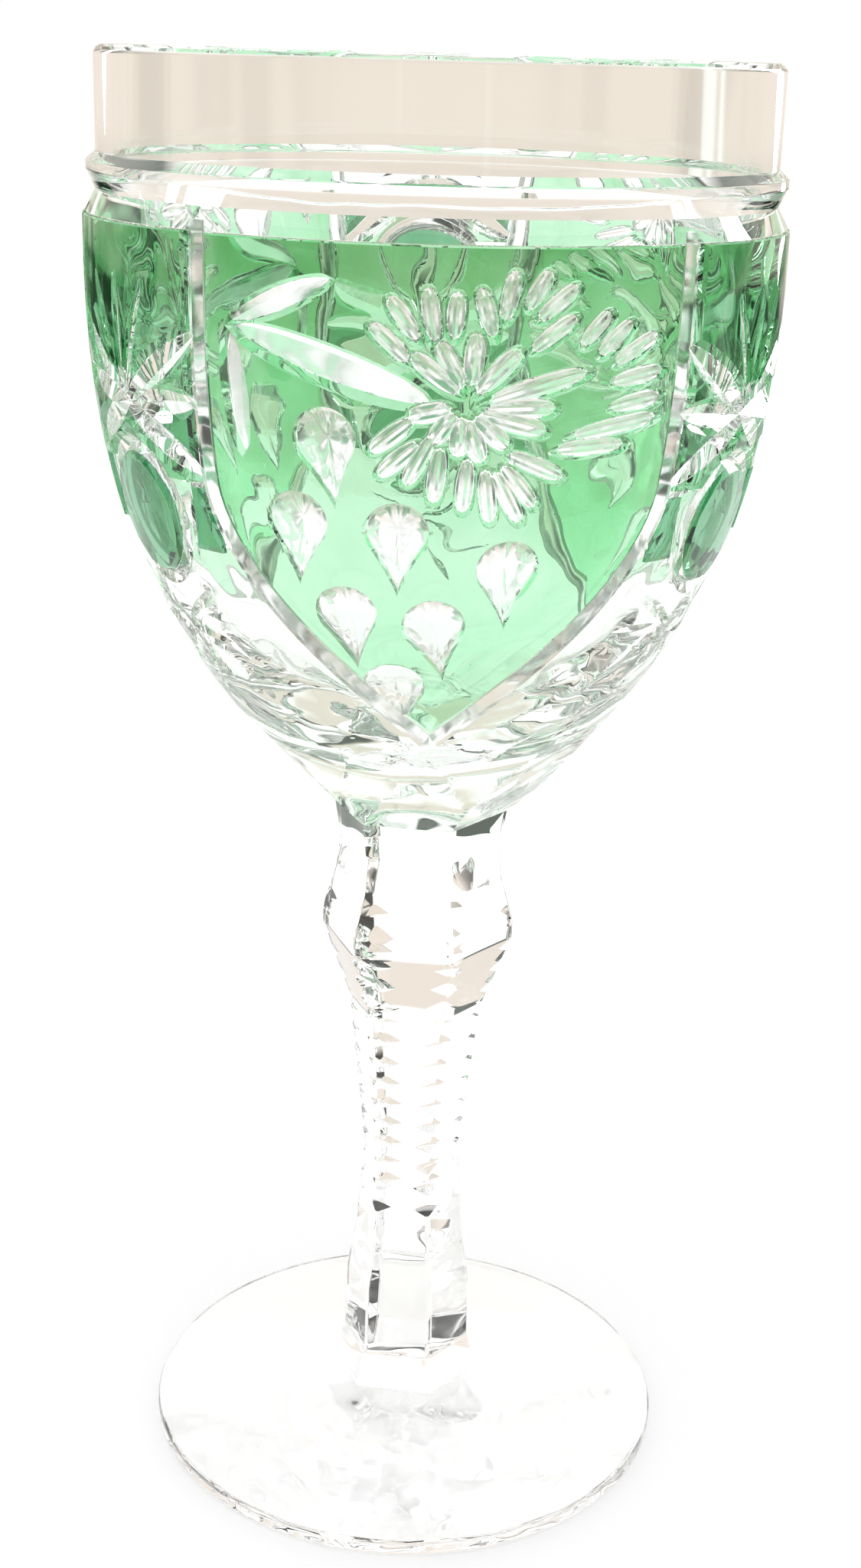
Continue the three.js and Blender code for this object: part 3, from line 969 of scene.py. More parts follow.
LEAF = WheelCut(width=4.6, depth=2.1, valley=-0.5, fullness=0.55, stations=14, face=Face.GROUND, lines=6)
SMALL_LEAF = WheelCut(width=3.4, depth=1.7, valley=-0.45, fullness=0.55, face=Face.GROUND, lines=5)
OLIVE = WheelCut(width=2.35, depth=0.95, face=Face.GROUND)
PETAL = WheelCut(width=2.7, depth=0.95, face=Face.GROUND)
BORDER = WheelCut(width=3.6, depth=1.5, stations=40, face=Face.GROUND, lines=6, line_depth=0.09, even=True)
RAY = WheelCut(width=4.4, depth=1.6, fullness=0.55, stations=10)
NEEDLE = WheelCut(width=1.7, depth=1.1, stations=9)
RING_CUT = WheelCut(width=2.8, depth=1.4, stations=24, even=True)
LOWER_RAY = WheelCut(width=2.2, depth=1.2, stations=10)
GRAPE = Grape()


@dataclass
class ShieldPanel:
    """The ornament of one shield: three leaves, two flowers and a bunch of grapes inside a border.

    Its places are x from -1 to 1 across and y from 0 at the top to 1 at the point. A stroke is two places.
    """

    cutter: Cutter
    half_angle: float = 39.5
    top_z: float = 157.5
    height: float = 55.5
    shoulder: float = 0.45
    curve: float = 1.75
    lap: float = 0.02
    steps: int = 24
    leaf_node: Place = (-0.85, 0.16)
    leaves: tuple[tuple[Place, WheelCut], ...] = (
        ((-0.4, 0.065), SMALL_LEAF),
        ((-0.02, 0.285), LEAF),
        ((-0.8, 0.4), SMALL_LEAF),
    )
    flower: tuple[Stroke, ...] = (
        (-0.28, 0.138, -0.12, 0.208),
        (-0.21, 0.09, -0.09, 0.172),
        (-0.07, 0.071, -0.035, 0.176),
        (0.04, 0.078, 0.03, 0.168),
        (0.12, 0.07, 0.18, 0.164),
        (0.25, 0.04, 0.21, 0.135),
        (0.38, 0.04, 0.29, 0.112),
        (0.49, 0.066, 0.33, 0.13),
        (0.49, 0.12, 0.31, 0.184),
        (-0.275, 0.37, -0.10, 0.302),
        (-0.245, 0.415, -0.08, 0.345),
        (-0.14, 0.43, -0.03, 0.33),
        (-0.03, 0.463, -0.005, 0.35),
        (0.085, 0.48, 0.10, 0.37),
        (0.20, 0.50, 0.165, 0.39),
        (0.325, 0.50, 0.195, 0.395),
        (0.38, 0.47, 0.225, 0.385),
        (0.485, 0.415, 0.24, 0.365),
    )
    petals: tuple[Stroke, ...] = (
        (0.07, 0.262, -0.13, 0.188),
        (0.10, 0.25, 0.115, 0.148),
        (0.11, 0.262, 0.28, 0.178),
        (0.14, 0.275, 0.55, 0.218),
        (0.14, 0.285, 0.43, 0.284),
        (0.12, 0.292, 0.40, 0.327),
        (0.11, 0.295, 0.25, 0.358),
        (0.09, 0.30, 0.15, 0.385),
        (0.07, 0.295, 0.06, 0.375),
        (0.05, 0.29, -0.04, 0.35),
        (0.04, 0.283, -0.13, 0.302),
        (0.075, 0.255, -0.03, 0.165),
    )
    small_flower: tuple[Stroke, ...] = (
        (0.63, 0.112, 0.505, 0.178),
        (0.73, 0.13, 0.575, 0.195),
        (0.85, 0.155, 0.645, 0.21),
        (0.89, 0.222, 0.64, 0.242),
        (0.89, 0.27, 0.64, 0.288),
        (0.88, 0.308, 0.48, 0.338),
        (0.74, 0.356, 0.42, 0.362),
    )
    grapes: tuple[Stroke, ...] = (
        (-0.45, 0.35, -0.41, 0.49),
        (-0.58, 0.51, -0.60, 0.66),
        (-0.17, 0.52, -0.17, 0.66),
        (0.29, 0.59, 0.31, 0.72),
        (-0.40, 0.69, -0.37, 0.82),
        (-0.01, 0.71, 0.07, 0.87),
        (-0.20, 0.85, -0.16, 0.96),
    )

    def spot(self, x: float, y: float) -> Place:
        """Azimuth and height of a place of the shield."""
        return x * self.half_angle, self.top_z - y * self.height

    def ends(self, stroke: Stroke) -> tuple[Place, Place]:
        """Azimuth and height of both ends of a stroke."""
        return self.spot(*stroke[:2]), self.spot(*stroke[2:])

    def width_at(self, y: float) -> float:
        """Half the shield's width at a share of its height."""
        return 1.0 - (max(0.0, y - self.shoulder) / (1.0 - self.shoulder)) ** self.curve

    def border(self, sign: float) -> Path:
        """Draws one side of the shield, from a little over its top down to its point.

        Args:
            sign: 1 for the right side, -1 for the left.

        Returns:
            The path.
        """

        def path(share: float) -> Place:
            """Azimuth and height at a share of the way."""
            y = share * (1 + self.lap) - self.lap
            return self.spot(sign * self.width_at(y), y)

        return path

    def tools(self) -> list[Solid]:
        """Makes the tools that cut the shield.

        Returns:
            The tools.
        """
        cutter, ends, node = self.cutter, self.ends, self.spot(*self.leaf_node)
        tools = [cutter.mitre(self.border(sign), BORDER) for sign in (-1.0, 1.0)]
        tools += [cutter.straight(node, self.spot(*tip), kind) for tip, kind in self.leaves]
        tools += [cutter.olive(*ends(stroke), OLIVE) for stroke in (*self.flower, *self.small_flower)]
        tools += [cutter.olive(*reversed(ends(stroke)), PETAL) for stroke in self.petals]
        tools += [cutter.grape(*ends(stroke), GRAPE) for stroke in self.grapes]
        return tools

    def outline(self) -> list[Place]:
        """Draws the shield's outline.

        Returns:
            Azimuth and height of its corners.
        """
        down = [self.shoulder + (1 - self.shoulder) * i / self.steps for i in range(self.steps)]
        right = [(1.0, -self.lap), *((self.width_at(y), y) for y in down)]
        left = [(-x, y) for x, y in reversed(right)]
        return [self.spot(*place) for place in (*right, (0.0, 1.0), *left)]


@dataclass
class StarColumn:
    """The ornament between two shields: a star over a round lens, and a lower star in clear glass.

    Its places are x from -1 to 1 across the column, and y as on a shield.
    """

    cutter: Cutter
    middle: float = 60.0
    half_angle: float = 20.5
    top_z: float = 157.5
    height: float = 55.5
    reach: float = 1.05
    lap: float = 0.02
    ring_lap: float = 0.01
    ray_tail: float = -0.15
    steps: int = 24
    star: Place = (0.0, 0.34)
    rays: tuple[Place, ...] = ((1.05, 0.46), (1.05, 0.31), (1.05, 0.17))
    needles: tuple[Place, ...] = ((0.0, 0.1), (0.38, 0.11))
    lens: Place = (0.0, 0.56)
    ring_radius: float = 7.8
    arch_span: float = 0.52
    blade_cut: tuple[Place, Place] = ((0.8, 0.44), (0.66, 0.66))
    blade_top: Place = (0.8, 0.475)
    blade_end: Place = (0.72, 0.6)
    lower_star: Place = (0.0, 0.8)
    lower_rays: tuple[Place, ...] = ((0.82, 0.68), (0.84, 0.81), (0.5, 0.92))

    def spot(self, place: Place) -> Place:
        """Azimuth and height of a place of the column."""
        return self.middle + place[0] * self.half_angle, self.top_z - place[1] * self.height

    def ring(self, share: float) -> Place:
        """Finds a place on the ring round the lens.

        Args:
            share: How far round from its top the place lies.

        Returns:
            Its azimuth and height.
        """
        azimuth, z = self.spot(self.lens)
        line = self.cutter.line
        turn = math.tau * share
        across = math.degrees(self.ring_radius * math.sin(turn) / line.radius_at(z))
        return azimuth + across, z + self.ring_radius * math.cos(turn) / math.hypot(1.0, line.lean_at(z))

    def half_ring(self, start: float) -> Path:
        """Half the ring round the lens from a share of the turn, and a little over at both ends."""
        return lambda share: self.ring(start - self.ring_lap + share * (0.5 + 2 * self.ring_lap))

    @staticmethod
    def both(places: Iterable[Place]) -> list[Place]:
        """The places and their mirror images."""
        return [side for x, y in places for side in {(x, y), (-x, y)}]

    def tools(self) -> list[Solid]:
        """Makes the tools that cut the column.

        Returns:
            The tools.
        """
        cutter, spot, star = self.cutter, self.spot, self.star
        rays, needles, lower_rays = self.both(self.rays), self.both(self.needles), self.both(self.lower_rays)
        tools = [cutter.straight(spot(between(star, end, self.ray_tail)), spot(end), RAY) for end in rays]
        tools += [cutter.olive(spot(end), spot(star), NEEDLE) for end in needles]
        tools += [cutter.straight(spot(self.lower_star), spot(end), LOWER_RAY) for end in lower_rays]
        for sign in (-1.0, 1.0):
            top, foot = (spot((sign * x, y)) for x, y in self.blade_cut)
            tools.append(cutter.straight(top, foot, NEEDLE))
        tools += [cutter.mitre(self.half_ring(start), RING_CUT) for start in (0.0, 0.5)]
        return tools

    def outlines(self) -> dict[tuple[str, str], list[Place]]:
        """Draws the outline of each green patch.

        Returns:
            Azimuth and height of the patch's corners, by its kind and the letter of its side.
        """
        lower, middle, upper = self.rays
        left_upper, left_lower = ((-x, y) for x, y in (upper, lower))
        crown = [self.star, upper, (self.reach, -self.lap), (-self.reach, -self.lap), left_upper]
        arch = [self.spot(place) for place in (lower, self.star, left_lower)]
        arch += [self.ring((i / self.steps - 0.5) * self.arch_span / 2) for i in range(self.steps + 1)]
        lens = [self.ring(i / (2 * self.steps)) for i in range(2 * self.steps)]
        found = {("crown", ""): [self.spot(place) for place in crown], ("arch", ""): arch, ("lens", ""): lens}
        blade_edge = [(self.reach, self.blade_top[1]), (self.reach, self.blade_end[1])]
        sides = {
            "upper_triangle": [self.star, upper, middle],
            "lower_triangle": [self.star, middle, lower],
            "blade": [self.blade_top, *blade_edge, self.blade_end],
        }
        for kind, corners in sides.items():
            found[kind, "_a"] = [self.spot(place) for place in corners]
            found[kind, "_b"] = [self.spot((-x, y)) for x, y in corners]
        return found


@dataclass
class Ornament:
    """The whole ornament: a shield and a column, and both again at the other two thirds of the turn."""

    panel: ShieldPanel
    column: StarColumn
    turns: tuple[float, float] = (120.0, 240.0)
    panels: tuple[tuple[str, float], ...] = (("front", 0.0), ("right_rear", 120.0), ("left_rear", -120.0))
    columns: tuple[tuple[str, float], ...] = (("right", 0.0), ("rear", 120.0), ("left", -120.0))

    def wheel(self) -> Solid:
        """Makes one tool of all that the cutting wheel takes away.

        Returns:
            The tool.
        """
        third = united("third", [*self.panel.tools(), *self.column.tools()])
        others = [turned_copy(third, f"third_{turn}", turn) for turn in self.turns]
        return united("wheel", [third, *others])

    def outlines(self) -> dict[str, list[Place]]:
        """Draws the outline of every green patch.

        Returns:
            Azimuth and height of the patch's corners, by its CAD node.
        """
        found: dict[str, list[Place]] = {}
        for name, turn in self.panels:
            found[f"panel_{name}"] = [(azimuth + turn, z) for azimuth, z in self.panel.outline()]
        for name, turn in self.columns:
            for (kind, letter), corners in self.column.outlines().items():
                found[f"{kind}_{name}{letter}"] = [(azimuth + turn, z) for azimuth, z in corners]
        return found

    @staticmethod
    def finish(node: str) -> Finish:
        """Chooses the green of a patch.

        Args:
            node: The patch's CAD node.

        Returns:
            The finish.
        """
        # painted light: the rear column's crown and arch take a paler green than the same patches on the
        # other columns
        if node in ("crown_rear", "arch_rear"):
            return Finish.GREEN_PALE
        if node.startswith("panel"):
            return Finish.GREEN_PANEL
        return Finish.GREEN_COLUMN if node.startswith(("crown", "arch", "upper")) else Finish.GREEN_LENS


@dataclass
class Bowl:
    """The bowl: a clear body, and over it a thin green layer that the cuts leave in patches."""

    line: BowlLine = field(default_factory=BowlLine)
    casing: float = 0.55
    clearance: float = 0.05
    casing_foot: float = 9.5
    casing_drop: float = 17.5
    casing_edge: float = 0.15
    bevel_radius: float = 39.6
    groove_drop: float = 15.1
    groove_radius: float = 38.4
    ledge_drop: float = 11.9
    ledge_width: float = 1.3
    ledge_radius: float = 39.4
    ledge_slope: float = 0.8
    ledge_edge: Span = (0.15, 0.2)
    rim_radius: float = 38.3
    rim_wall: float = 2.0
    lip_steps: int = 8
    wall: float = 3.4
    cup_floor_height: float = 16.5
    cup_floor_width: float = 19.0
    cup_shoulder_height: float = 29.0
    facets: int = 6
    facet_turn: float = 19.0
    facet_line: tuple[Place, ...] = ((10.15, 0.0), (10.9, 4.5), (27.0, 19.0), (80.0, 38.0), (80.0, 95.0))
    steps: int = 192
    rows: int = 44
    melt_margins: Span = (0.5, 0.02)
    melt_slack: float = 0.04
    melt_facing: float = 0.2
    wedge_reach: Span = (25.0, 60.0)

    def outer(self) -> list[Place]:
        """Radius and height of the points of the outer line."""
        return [self.line.point(i / self.rows) for i in range(self.rows + 1)]

    def inner(self) -> list[Place]:
        """Draws the line of the cup's inside.

        Returns:
            Radius and height of its points, from its widest place to its floor.
        """
        radius, z = self.line.radius - self.wall, self.line.neck_z
        controls = (
            (0.0, z + self.cup_floor_height),
            (self.cup_floor_width, z + self.cup_floor_height),
            (radius, z + self.cup_shoulder_height),
            (radius, self.line.rim_z - self.line.widest_drop),
        )
        return [bezier(controls, 1 - i / self.rows) for i in range(self.rows + 1)]

    def body(self) -> Solid:
        """Makes the clear body before the ornament is cut.

        Returns:
            The body.
        """
        line, inset = self.line, self.casing + self.clearance
        rim, top = line.rim_z, line.rim_z - self.casing_drop
        bevel = (self.bevel_radius, top + self.clearance)
        groove = (self.groove_radius, rim - self.groove_drop)
        ledge_high = rim - self.ledge_drop
        ledge_low = ledge_high - self.ledge_width
        edge_in, edge_up = self.ledge_edge
        lip = self.rim_wall / 2
        angles = [math.pi * i / self.lip_steps for i in range(self.lip_steps + 1)]
        profile = [
            (0.0, line.neck_z),
            *((radius - inset, z) for radius, z in self.outer()),
            (line.radius - inset, top),
            bevel,
            tuple(sum(pair) / 2 for pair in zip(bevel, groove)),
            groove,
            (self.ledge_radius - edge_in, ledge_low),
            (self.ledge_radius, ledge_low + edge_up),
            (self.ledge_radius, ledge_high - edge_up),
            (self.ledge_radius - edge_in, ledge_high),
            (self.rim_radius, ledge_high + self.ledge_slope),
            *((self.rim_radius - lip + math.cos(a) * lip, rim - lip + math.sin(a) * lip) for a in angles),
            *self.inner(),
        ]
        solid = marked(spun("bowl", profile, self.steps), Face.POLISHED)
        facet_line = [(radius, line.neck_z + height) for radius, height in self.facet_line]
        facet_line = [(0.0, line.neck_z), *facet_line, (0.0, facet_line[-1][1])]
        facets = marked(spun("facets", facet_line, self.facets, self.facet_turn), Face.POLISHED)
        return worked(solid, facets, Work.KEEP)

    def layer(self) -> Solid:
        """Makes the green layer before the ornament is cut.

        Returns:
            The layer.
        """
        line, edge = self.line, self.casing_edge
        outer = [(radius, z) for radius, z in self.outer() if z > line.neck_z + self.casing_foot]
        top = line.rim_z - self.casing_drop - self.clearance
        inner = [(radius - self.casing, z) for radius, z in outer]
        inner.append((line.radius - self.casing, top))
        outer += [(line.radius, top - edge), (line.radius - edge, top)]
        return spun("layer", [*outer, *reversed(inner), outer[0]], self.steps)

    def lies_on(self, middle: Vector, normal: Vector, depth: float, facing: float) -> bool:
        """Tells whether a face lies where the body and the green layer meet.

        Args:
            middle: The face's middle.
            normal: Its normal.
            depth: How deep under the outer line the face may lie.
            facing: 1 where it has to face outwards, -1 inwards.

        Returns:
            Whether it does.
        """
        below, above = self.melt_margins
        low, high = self.line.neck_z + self.casing_foot - below, self.line.rim_z - self.casing_drop + above
        if not low < middle.z < high:
            return False
        flat = Vector((middle.x, middle.y, 0.0))
        off = abs(flat.length - (self.line.radius_at(middle.z) - depth))
        return off < self.melt_slack and normal.dot(flat.normalized()) * facing > self.melt_facing

    def melt_layer(self, layer: Solid) -> None:
        """Marks the inside of the green layer, where it is melted to the body."""
        fused(layer, lambda middle, normal: self.lies_on(middle, normal, self.casing, -1.0))

    def melt_body(self, body: Solid, outlines: Iterable[Sequence[Place]]) -> None:
        """Marks the places of the body that carry green glass, and the place that sits on the stem.

        Args:
            body: The body.
            outlines: The outlines of the green patches.
        """
        patches = [(outline, sum(azimuth for azimuth, _ in outline) / len(outline)) for outline in outlines]

        def touches(middle: Vector, normal: Vector) -> bool:
            """Tells whether a face lies in a joint.

            Args:
                middle: The face's middle.
                normal: Its normal.

            Returns:
                Whether it does.
            """
            if level_at(middle, normal, self.line.neck_z):
                return True
            if not self.lies_on(middle, normal, self.casing + self.clearance, 1.0):
                return False
            azimuth = math.degrees(math.atan2(middle.x, -middle.y))
            return any(
                within((centre + (azimuth - centre + 180.0) % 360.0 - 180.0, middle.z), outline)
                for outline, centre in patches
            )

        fused(body, touches)

    def wedge(self, outline: Sequence[Place]) -> Solid:
        """A wedge from near the axis outwards that takes in an outline of azimuths and heights."""
        return swept("wedge", [[polar(radius, *place) for place in outline] for radius in self.wedge_reach])

    def dress(self, ornament: Ornament, wardrobe: Wardrobe) -> None:
        """Builds the body and the green patches, and dresses them.

        Args:
            ornament: What is cut into them.
            wardrobe: The materials.
        """
        wheel = ornament.wheel()
        layer = worked(self.layer(), turned_copy(wheel, "wheel_for_layer", 0.0), Work.CUT)
        self.melt_layer(layer)
        outlines = ornament.outlines()
        body = worked(self.body(), wheel, Work.CUT)
        self.melt_body(body, outlines.values())
        wardrobe.dress(body, "bowl", Finish.CLEAR_CRYSTAL)
        for node, outline in outlines.items():
            patch = worked(turned_copy(layer, f"patch_{node}", 0.0), self.wedge(outline), Work.KEEP)
            wardrobe.dress(patch, node, ornament.finish(node))
        bpy.data.objects.remove(layer)


@dataclass
class Stem:
    """The six-sided stem, with a knop and a row of notches down each corner."""

    foot_z: float = 6.5
    neck_z: float = 82.0
    sides: int = 6
    turn: float = 19.0
    line: tuple[Place, ...] = (
        (9.8, 6.5),
        (8.5, 11.0),
        (8.3, 20.5),
        (7.3, 26.0),
        (6.35, 39.0),
        (8.7, 60.0),
        (12.3, 69.6),
        (12.3, 72.0),
        (10.7, 77.4),
        (10.15, 82.0),
    )
    notches: int = 13
    notch_pitch: float = 3.0
    notch_depth: float = 1.0
    notch_mouth: float = 0.95
    notch_reach: float = 1.5
    notch_half_length: float = 5.0
    lowest_notch: float = 32.5
    bevel: float = 0.4

    def radius_at(self, z: float) -> float:
        """Finds the corner radius at a height.

        Args:
            z: The height.

        Returns:
            The radius.
        """
        for (low_radius, low), (high_radius, high) in zip(self.line, self.line[1:]):
            if z <= high:
                return low_radius + (high_radius - low_radius) * (z - low) / (high - low)
        return self.line[-1][0]

    def notch(self, corner: int, number: int) -> Solid:
        """Makes the tool of one notch: a V-edged bar across a corner.

        Args:
            corner: The corner's number.
            number: The notch's number, from the lowest.

        Returns:
            The tool.
        """
        z = self.lowest_notch + number * self.notch_pitch
        out = polar(1.0, self.turn + corner * 360 / self.sides)
        side = UP.cross(out)
        edge = out * (self.radius_at(z) - self.notch_depth) + UP * z
        half = UP * (self.notch_mouth * self.notch_reach / self.notch_depth)
        rings: list[Ring] = []
        for shift in (-self.notch_half_length, self.notch_half_length):
            base = edge + side * shift
            rings.append([base, base + out * self.notch_reach + half, base + out * self.notch_reach - half])
        return swept(f"notch_{corner}_{number}", rings)

    def build(self) -> Solid:
        """Makes the stem.

        Returns:
            The finished solid.
        """
        profile = [(0.0, self.foot_z), *self.line, (0.0, self.neck_z)]
        solid = rounded(spun("stem", profile, self.sides, self.turn), self.bevel, (self.foot_z, self.neck_z))
        tools = [self.notch(corner, i) for corner in range(self.sides) for i in range(self.notches)]
        deselect()
        for tool in tools:
            tool.select_set(True)
        bpy.context.view_layer.objects.active = tools[0]
        bpy.ops.object.join()
        worked(solid, tools[0], Work.CUT)
        fused(solid, lambda middle, normal: level_at(middle, normal, self.foot_z, self.neck_z))
        return solid

    def dress(self, wardrobe: Wardrobe) -> None:
        """Builds the stem and dresses it."""
        wardrobe.dress(self.build(), "stem", Finish.CLEAR_CRYSTAL)


@dataclass
class Foot:
    """The round foot: a disc that domes up to a flat seat under the stem."""

    radius: float = 33.6
    height: float = 6.5
    edge: float = 2.2
    seat_radius: float = 11.0
    dome_drop: float = 2.9
    dome_rows: int = 14
    rounding: float = 0.7
    rounding_steps: int = 6
    bed_depth: float = 0.05
    bed_clear: float = 1.0
    steps: int = 160

    def build(self) -> Solid:
        """Makes the foot.

        Returns:
            The solid, before the stem is melted into it.
        """
        bend, steps = self.rounding, self.rounding_steps
        corner = self.radius - bend
        profile: list[Place] = [(0.0, 0.0), (corner, 0.0)]
        for base, first, last in ((bend, 1 - steps, 0), (self.edge - bend, 0, steps)):
            for i in range(first, last + 1):
                angle = math.pi / 2 * i / steps
                profile.append((corner + bend * math.cos(angle), base + bend * math.sin(angle)))
        controls = (
            (corner, self.edge),
            ((self.radius + self.seat_radius) / 2, self.height - self.dome_drop),
            (self.seat_radius, self.height),
        )
        profile += [bezier(controls, i / self.dome_rows) for i in range(1, self.dome_rows + 1)]
        profile.append((0.0, self.height))
        return spun("foot", profile, self.steps)

    def dress(self, stem: Stem, wardrobe: Wardrobe) -> None:
        """Builds the foot, with a shallow bed into which the stem is melted, and dresses it.

        Args:
            stem: The stem.
            wardrobe: The materials.
        """
        radius = stem.line[0][0]
        deep, high = self.height - self.bed_depth, self.height + self.bed_clear
        bed = spun("bed", [(0.0, deep), (radius, deep), (radius, high), (0.0, high)], stem.sides, stem.turn)
        foot = worked(self.build(), bed, Work.CUT)
        fused(foot, lambda middle, normal: level_at(middle, normal, deep))
        wardrobe.dress(foot, "foot", Finish.CLEAR_CRYSTAL)


@dataclass
class Studio:
    """The floor, the light round the glass and the camera, in metres.

    Stops colour the room by one part of a direction: window stops by X, aside stops by its size, front, clean
    and behind stops by Y, and rise, above and low stops by Z. Furniture stops go by a noise. A strip is given
    by its azimuth, its width and its watts.
    """

    floor_radius: float = 0.55
    floor_drop: float = 0.0002
    floor_corners: int = 128
    bounces: int = 32
    glossy_bounces: int = 16
    transparent_bounces: int = 48
    rise_stops: Stops = (
        (-1.0, WHITE),
        (-0.28, WHITE),
        (-0.08, (0.68, 0.61, 0.54)),
        (0.25, (0.68, 0.61, 0.54)),
        (0.5, WHITE),
    )
    front_stops: Stops = (
        (-1.0, (0.02, 0.02, 0.02)),
        (-0.6, (0.02, 0.02, 0.02)),
        (-0.4, (0.35, 0.35, 0.35)),
        (-0.1, WHITE),
    )
    window_stops: Stops = (
        (-1.0, BLACK),
        (0.155, BLACK),
        (0.157, (0.82, 0.8, 0.76)),
        (0.16, (0.82, 0.8, 0.76)),
        (0.162, BLACK),
        (0.21, BLACK),
        (0.22, (1.0, 0.98, 0.93)),
        (0.237, (1.0, 0.98, 0.93)),
        (0.242, (0.74, 0.7, 0.63)),
        (0.246, (1.0, 0.98, 0.93)),
        (0.252, (1.0, 0.98, 0.93)),
        (0.256, (0.74, 0.7, 0.63)),
        (0.3, BLACK),
    )
    above_stops: Stops = ((-1.0, BLACK), (0.0, BLACK), (0.12, WHITE))
    furniture_stops: Stops = ((-1.0, (0.04, 0.05, 0.04)), (-0.1, (0.04, 0.05, 0.04)), (-0.02, WHITE))
    clean_stops: Stops = ((-1.0, WHITE), (-0.8, WHITE), (-0.6, BLACK), (0.35, BLACK), (0.6, WHITE))
    aside_stops: Stops = ((-1.0, BLACK), (0.28, BLACK), (0.42, WHITE))
    low_stops: Stops = ((-1.0, BLACK), (-0.3, BLACK), (-0.25, WHITE), (-0.07, WHITE), (-0.03, BLACK))
    behind_stops: Stops = ((-1.0, BLACK), (0.1, BLACK), (0.3, WHITE))
    furniture_scale: float = 2.6
    furniture_detail: float = 1.0
    shade: Colour = (0.04, 0.06, 0.04)
    room_gain: float = 0.34
    strips: tuple[tuple[float, float, float], ...] = (
        (104.0, 0.09, 5.0),
        (116.0, 0.06, 3.0),
        (130.0, 0.12, 4.5),
        (-124.0, 0.05, 2.0),
    )
    strip_distance: float = 1.0
    strip_height: float = 0.9
    strip_middle: float = 0.4
    camera_turn: float = -1.8
    camera_distance: float = 0.2488
    camera_height: float = 0.17443
    camera_pitch: float = 18.93
    camera_roll: float = 1.68
    camera_yaw: float = 0.277
    camera_nearest: float = 0.01
    focal_pixels: float = 2761.0
    frame_height: int = 2048
    sensor: float = 36.0

    def floor(self) -> None:
        """Lays a pale round floor."""
        deselect()
        bpy.ops.mesh.primitive_circle_add(
            vertices=self.floor_corners,
            radius=self.floor_radius,
            fill_type="NGON",
        )
        floor = named(bpy.context.object, "floor")
        floor.location.z = -self.floor_drop
        floor.data.materials.append(PaleFloor().build())

    def world(self) -> None:
        """Lights the room.

        The eye and dull surfaces meet white. What glass bends and mirrors is a pale wall behind, white below
        and above, and a dim room with window bars in front.
        """
        world = bpy.data.worlds.new("studio")
        bpy.context.scene.world = world
        world.use_nodes = True
        graph = Graph(world.node_tree)
        ramp, mixed, maths, white = graph.ramp, graph.mixed, graph.maths, (*WHITE, 1.0)
        direction = graph.node("TexCoord").outputs["Generated"]
        x, y, z = graph.node("SeparateXYZ", {"Vector": direction}).outputs
        noise_inputs = {"Vector": direction, "Scale": self.furniture_scale, "Detail": self.furniture_detail}
        noise = maths(Maths.PRODUCT_SUM, graph.node("TexNoise", noise_inputs).outputs["Fac"], 2.0, -1.0)

        clean = ramp(y, self.clean_stops)
        furniture = mixed(Blend.COVER, clean, ramp(noise, self.furniture_stops), white)
        window = mixed(Blend.TINT, 1.0, ramp(x, self.window_stops), clean)
        room = mixed(Blend.LIGHTER, 1.0, ramp(z, self.rise_stops), window)
        front = mixed(Blend.COVER, ramp(z, self.above_stops), white, ramp(y, self.front_stops))
        room = mixed(Blend.TINT, 1.0, room, front)
        room = mixed(Blend.TINT, 1.0, room, furniture)

        beside = ramp(maths(Maths.SIZE, x), self.aside_stops)
        shaded = mixed(Blend.TINT, 1.0, beside, ramp(z, self.low_stops))
        shaded = mixed(Blend.TINT, 1.0, shaded, ramp(y, self.behind_stops))
        room = mixed(Blend.COVER, shaded, room, (*self.shade, 1.0))

        path = graph.node("LightPath").outputs
        by_glass = maths(Maths.LARGER, path["Is Transmission Ray"], path["Is Glossy Ray"])
        background = world.node_tree.nodes["Background"].inputs
        graph.wire(background["Color"], mixed(Blend.COVER, by_glass, white, room))
        graph.wire(background["Strength"], maths(Maths.PRODUCT_SUM, by_glass, self.room_gain, 1.0))

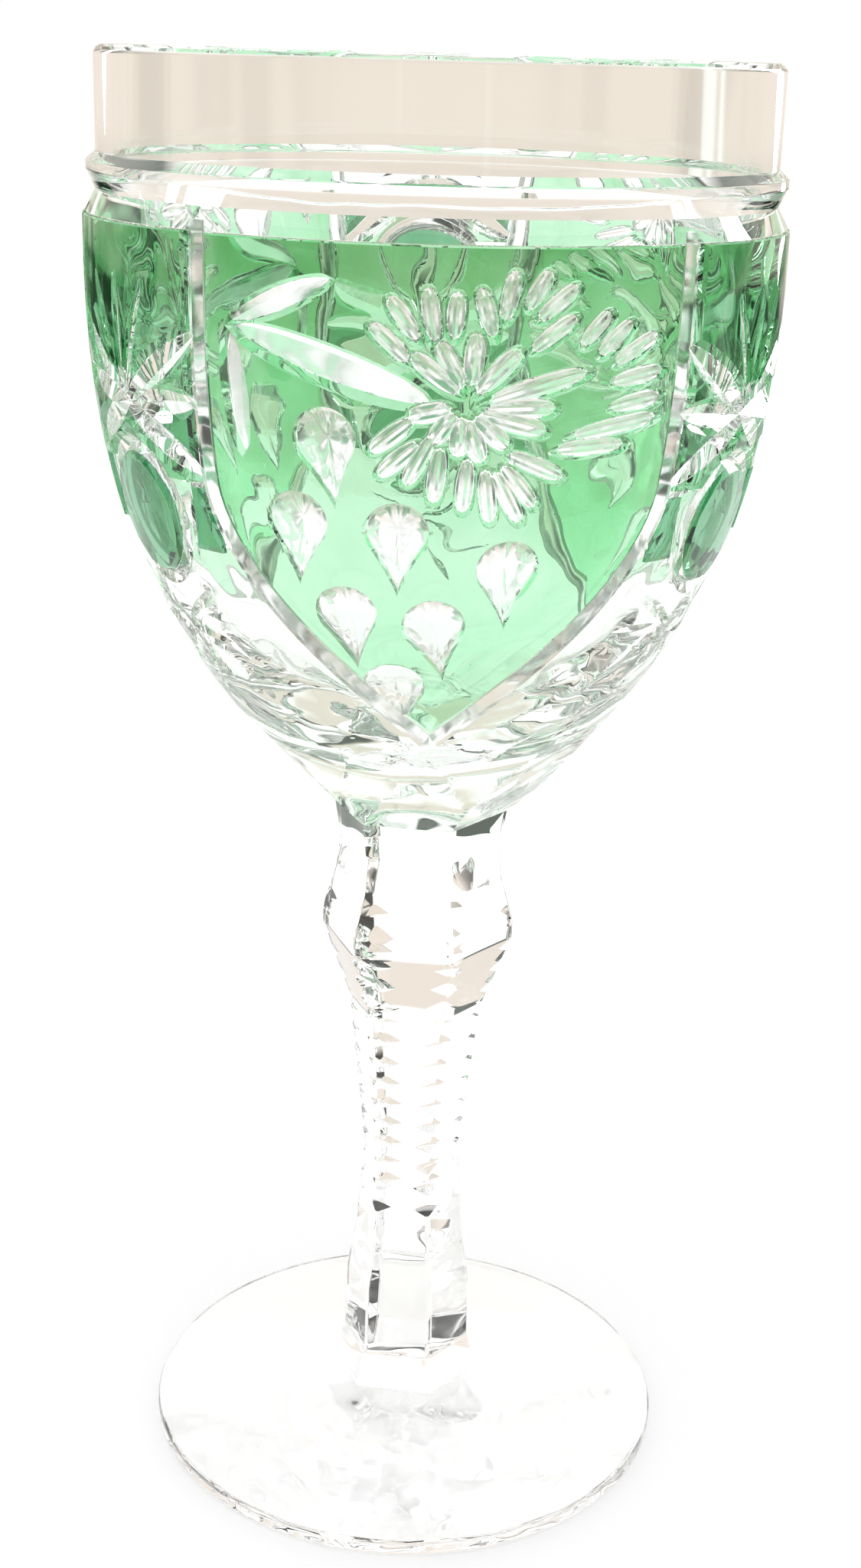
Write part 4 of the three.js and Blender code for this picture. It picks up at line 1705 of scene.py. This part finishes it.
    def camera(self) -> None:
        """Sets the camera where the photograph was taken from."""
        heading = math.radians(self.camera_turn) + math.radians(90.0 - self.camera_yaw)
        pitch, roll = math.radians(self.camera_pitch), math.radians(self.camera_roll)
        level = Vector((math.cos(heading), math.sin(heading), 0.0))
        forward = level * math.cos(pitch) - UP * math.sin(pitch)
        up = level * math.sin(pitch) + UP * math.cos(pitch)
        right = forward.cross(up)
        side = right * math.cos(roll) + up * math.sin(roll)
        top = up * math.cos(roll) - right * math.sin(roll)
        data = bpy.data.cameras.new("camera")
        data.sensor_width = self.sensor
        data.lens = self.focal_pixels / self.frame_height * self.sensor
        data.clip_start = self.camera_nearest
        camera = bpy.data.objects.new("camera", data)
        bpy.context.scene.collection.objects.link(camera)
        place = polar(1.0, self.camera_turn) * self.camera_distance
        place.z = self.camera_height
        rows = Matrix((side, top, -forward)).transposed().to_4x4()
        camera.matrix_world = Matrix.Translation(place) @ rows
        bpy.context.scene.camera = camera

    def lamps(self) -> None:
        """Sets tall soft lamps beside and behind the glass, which show in its gloss alone."""
        for number, (azimuth, width, watts) in enumerate(self.strips):
            data = bpy.data.lights.new(f"strip_{number}", "AREA")
            data.shape = "RECTANGLE"
            data.size, data.size_y = width, self.strip_height
            data.energy = watts
            lamp = bpy.data.objects.new(f"strip_{number}", data)
            bpy.context.scene.collection.objects.link(lamp)
            place = polar(1.0, azimuth) * self.strip_distance
            lamp.rotation_euler = (-place).to_track_quat("-Z", "Z").to_euler()
            place.z = self.strip_middle
            lamp.location = place
            lamp.visible_diffuse = False
            lamp.visible_transmission = False

    def build(self) -> None:
        """Sets the stage up."""
        scene = bpy.context.scene
        scene.view_settings.view_transform = "Standard"
        scene.cycles.max_bounces = self.bounces
        scene.cycles.transmission_bounces = self.bounces
        scene.cycles.glossy_bounces = self.glossy_bounces
        scene.cycles.transparent_max_bounces = self.transparent_bounces
        self.floor()
        self.lamps()
        self.world()
        self.camera()


def main() -> None:
    """Builds the glass and its stage."""
    logging.basicConfig(level=logging.INFO, format="%(message)s")
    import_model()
    Studio().build()
    wardrobe = Wardrobe()
    bowl = Bowl()
    cutter = Cutter(bowl.line)
    bowl.dress(Ornament(ShieldPanel(cutter), StarColumn(cutter)), wardrobe)
    stem = Stem()
    stem.dress(wardrobe)
    Foot().dress(stem, wardrobe)


if __name__ == "__main__":
    main()
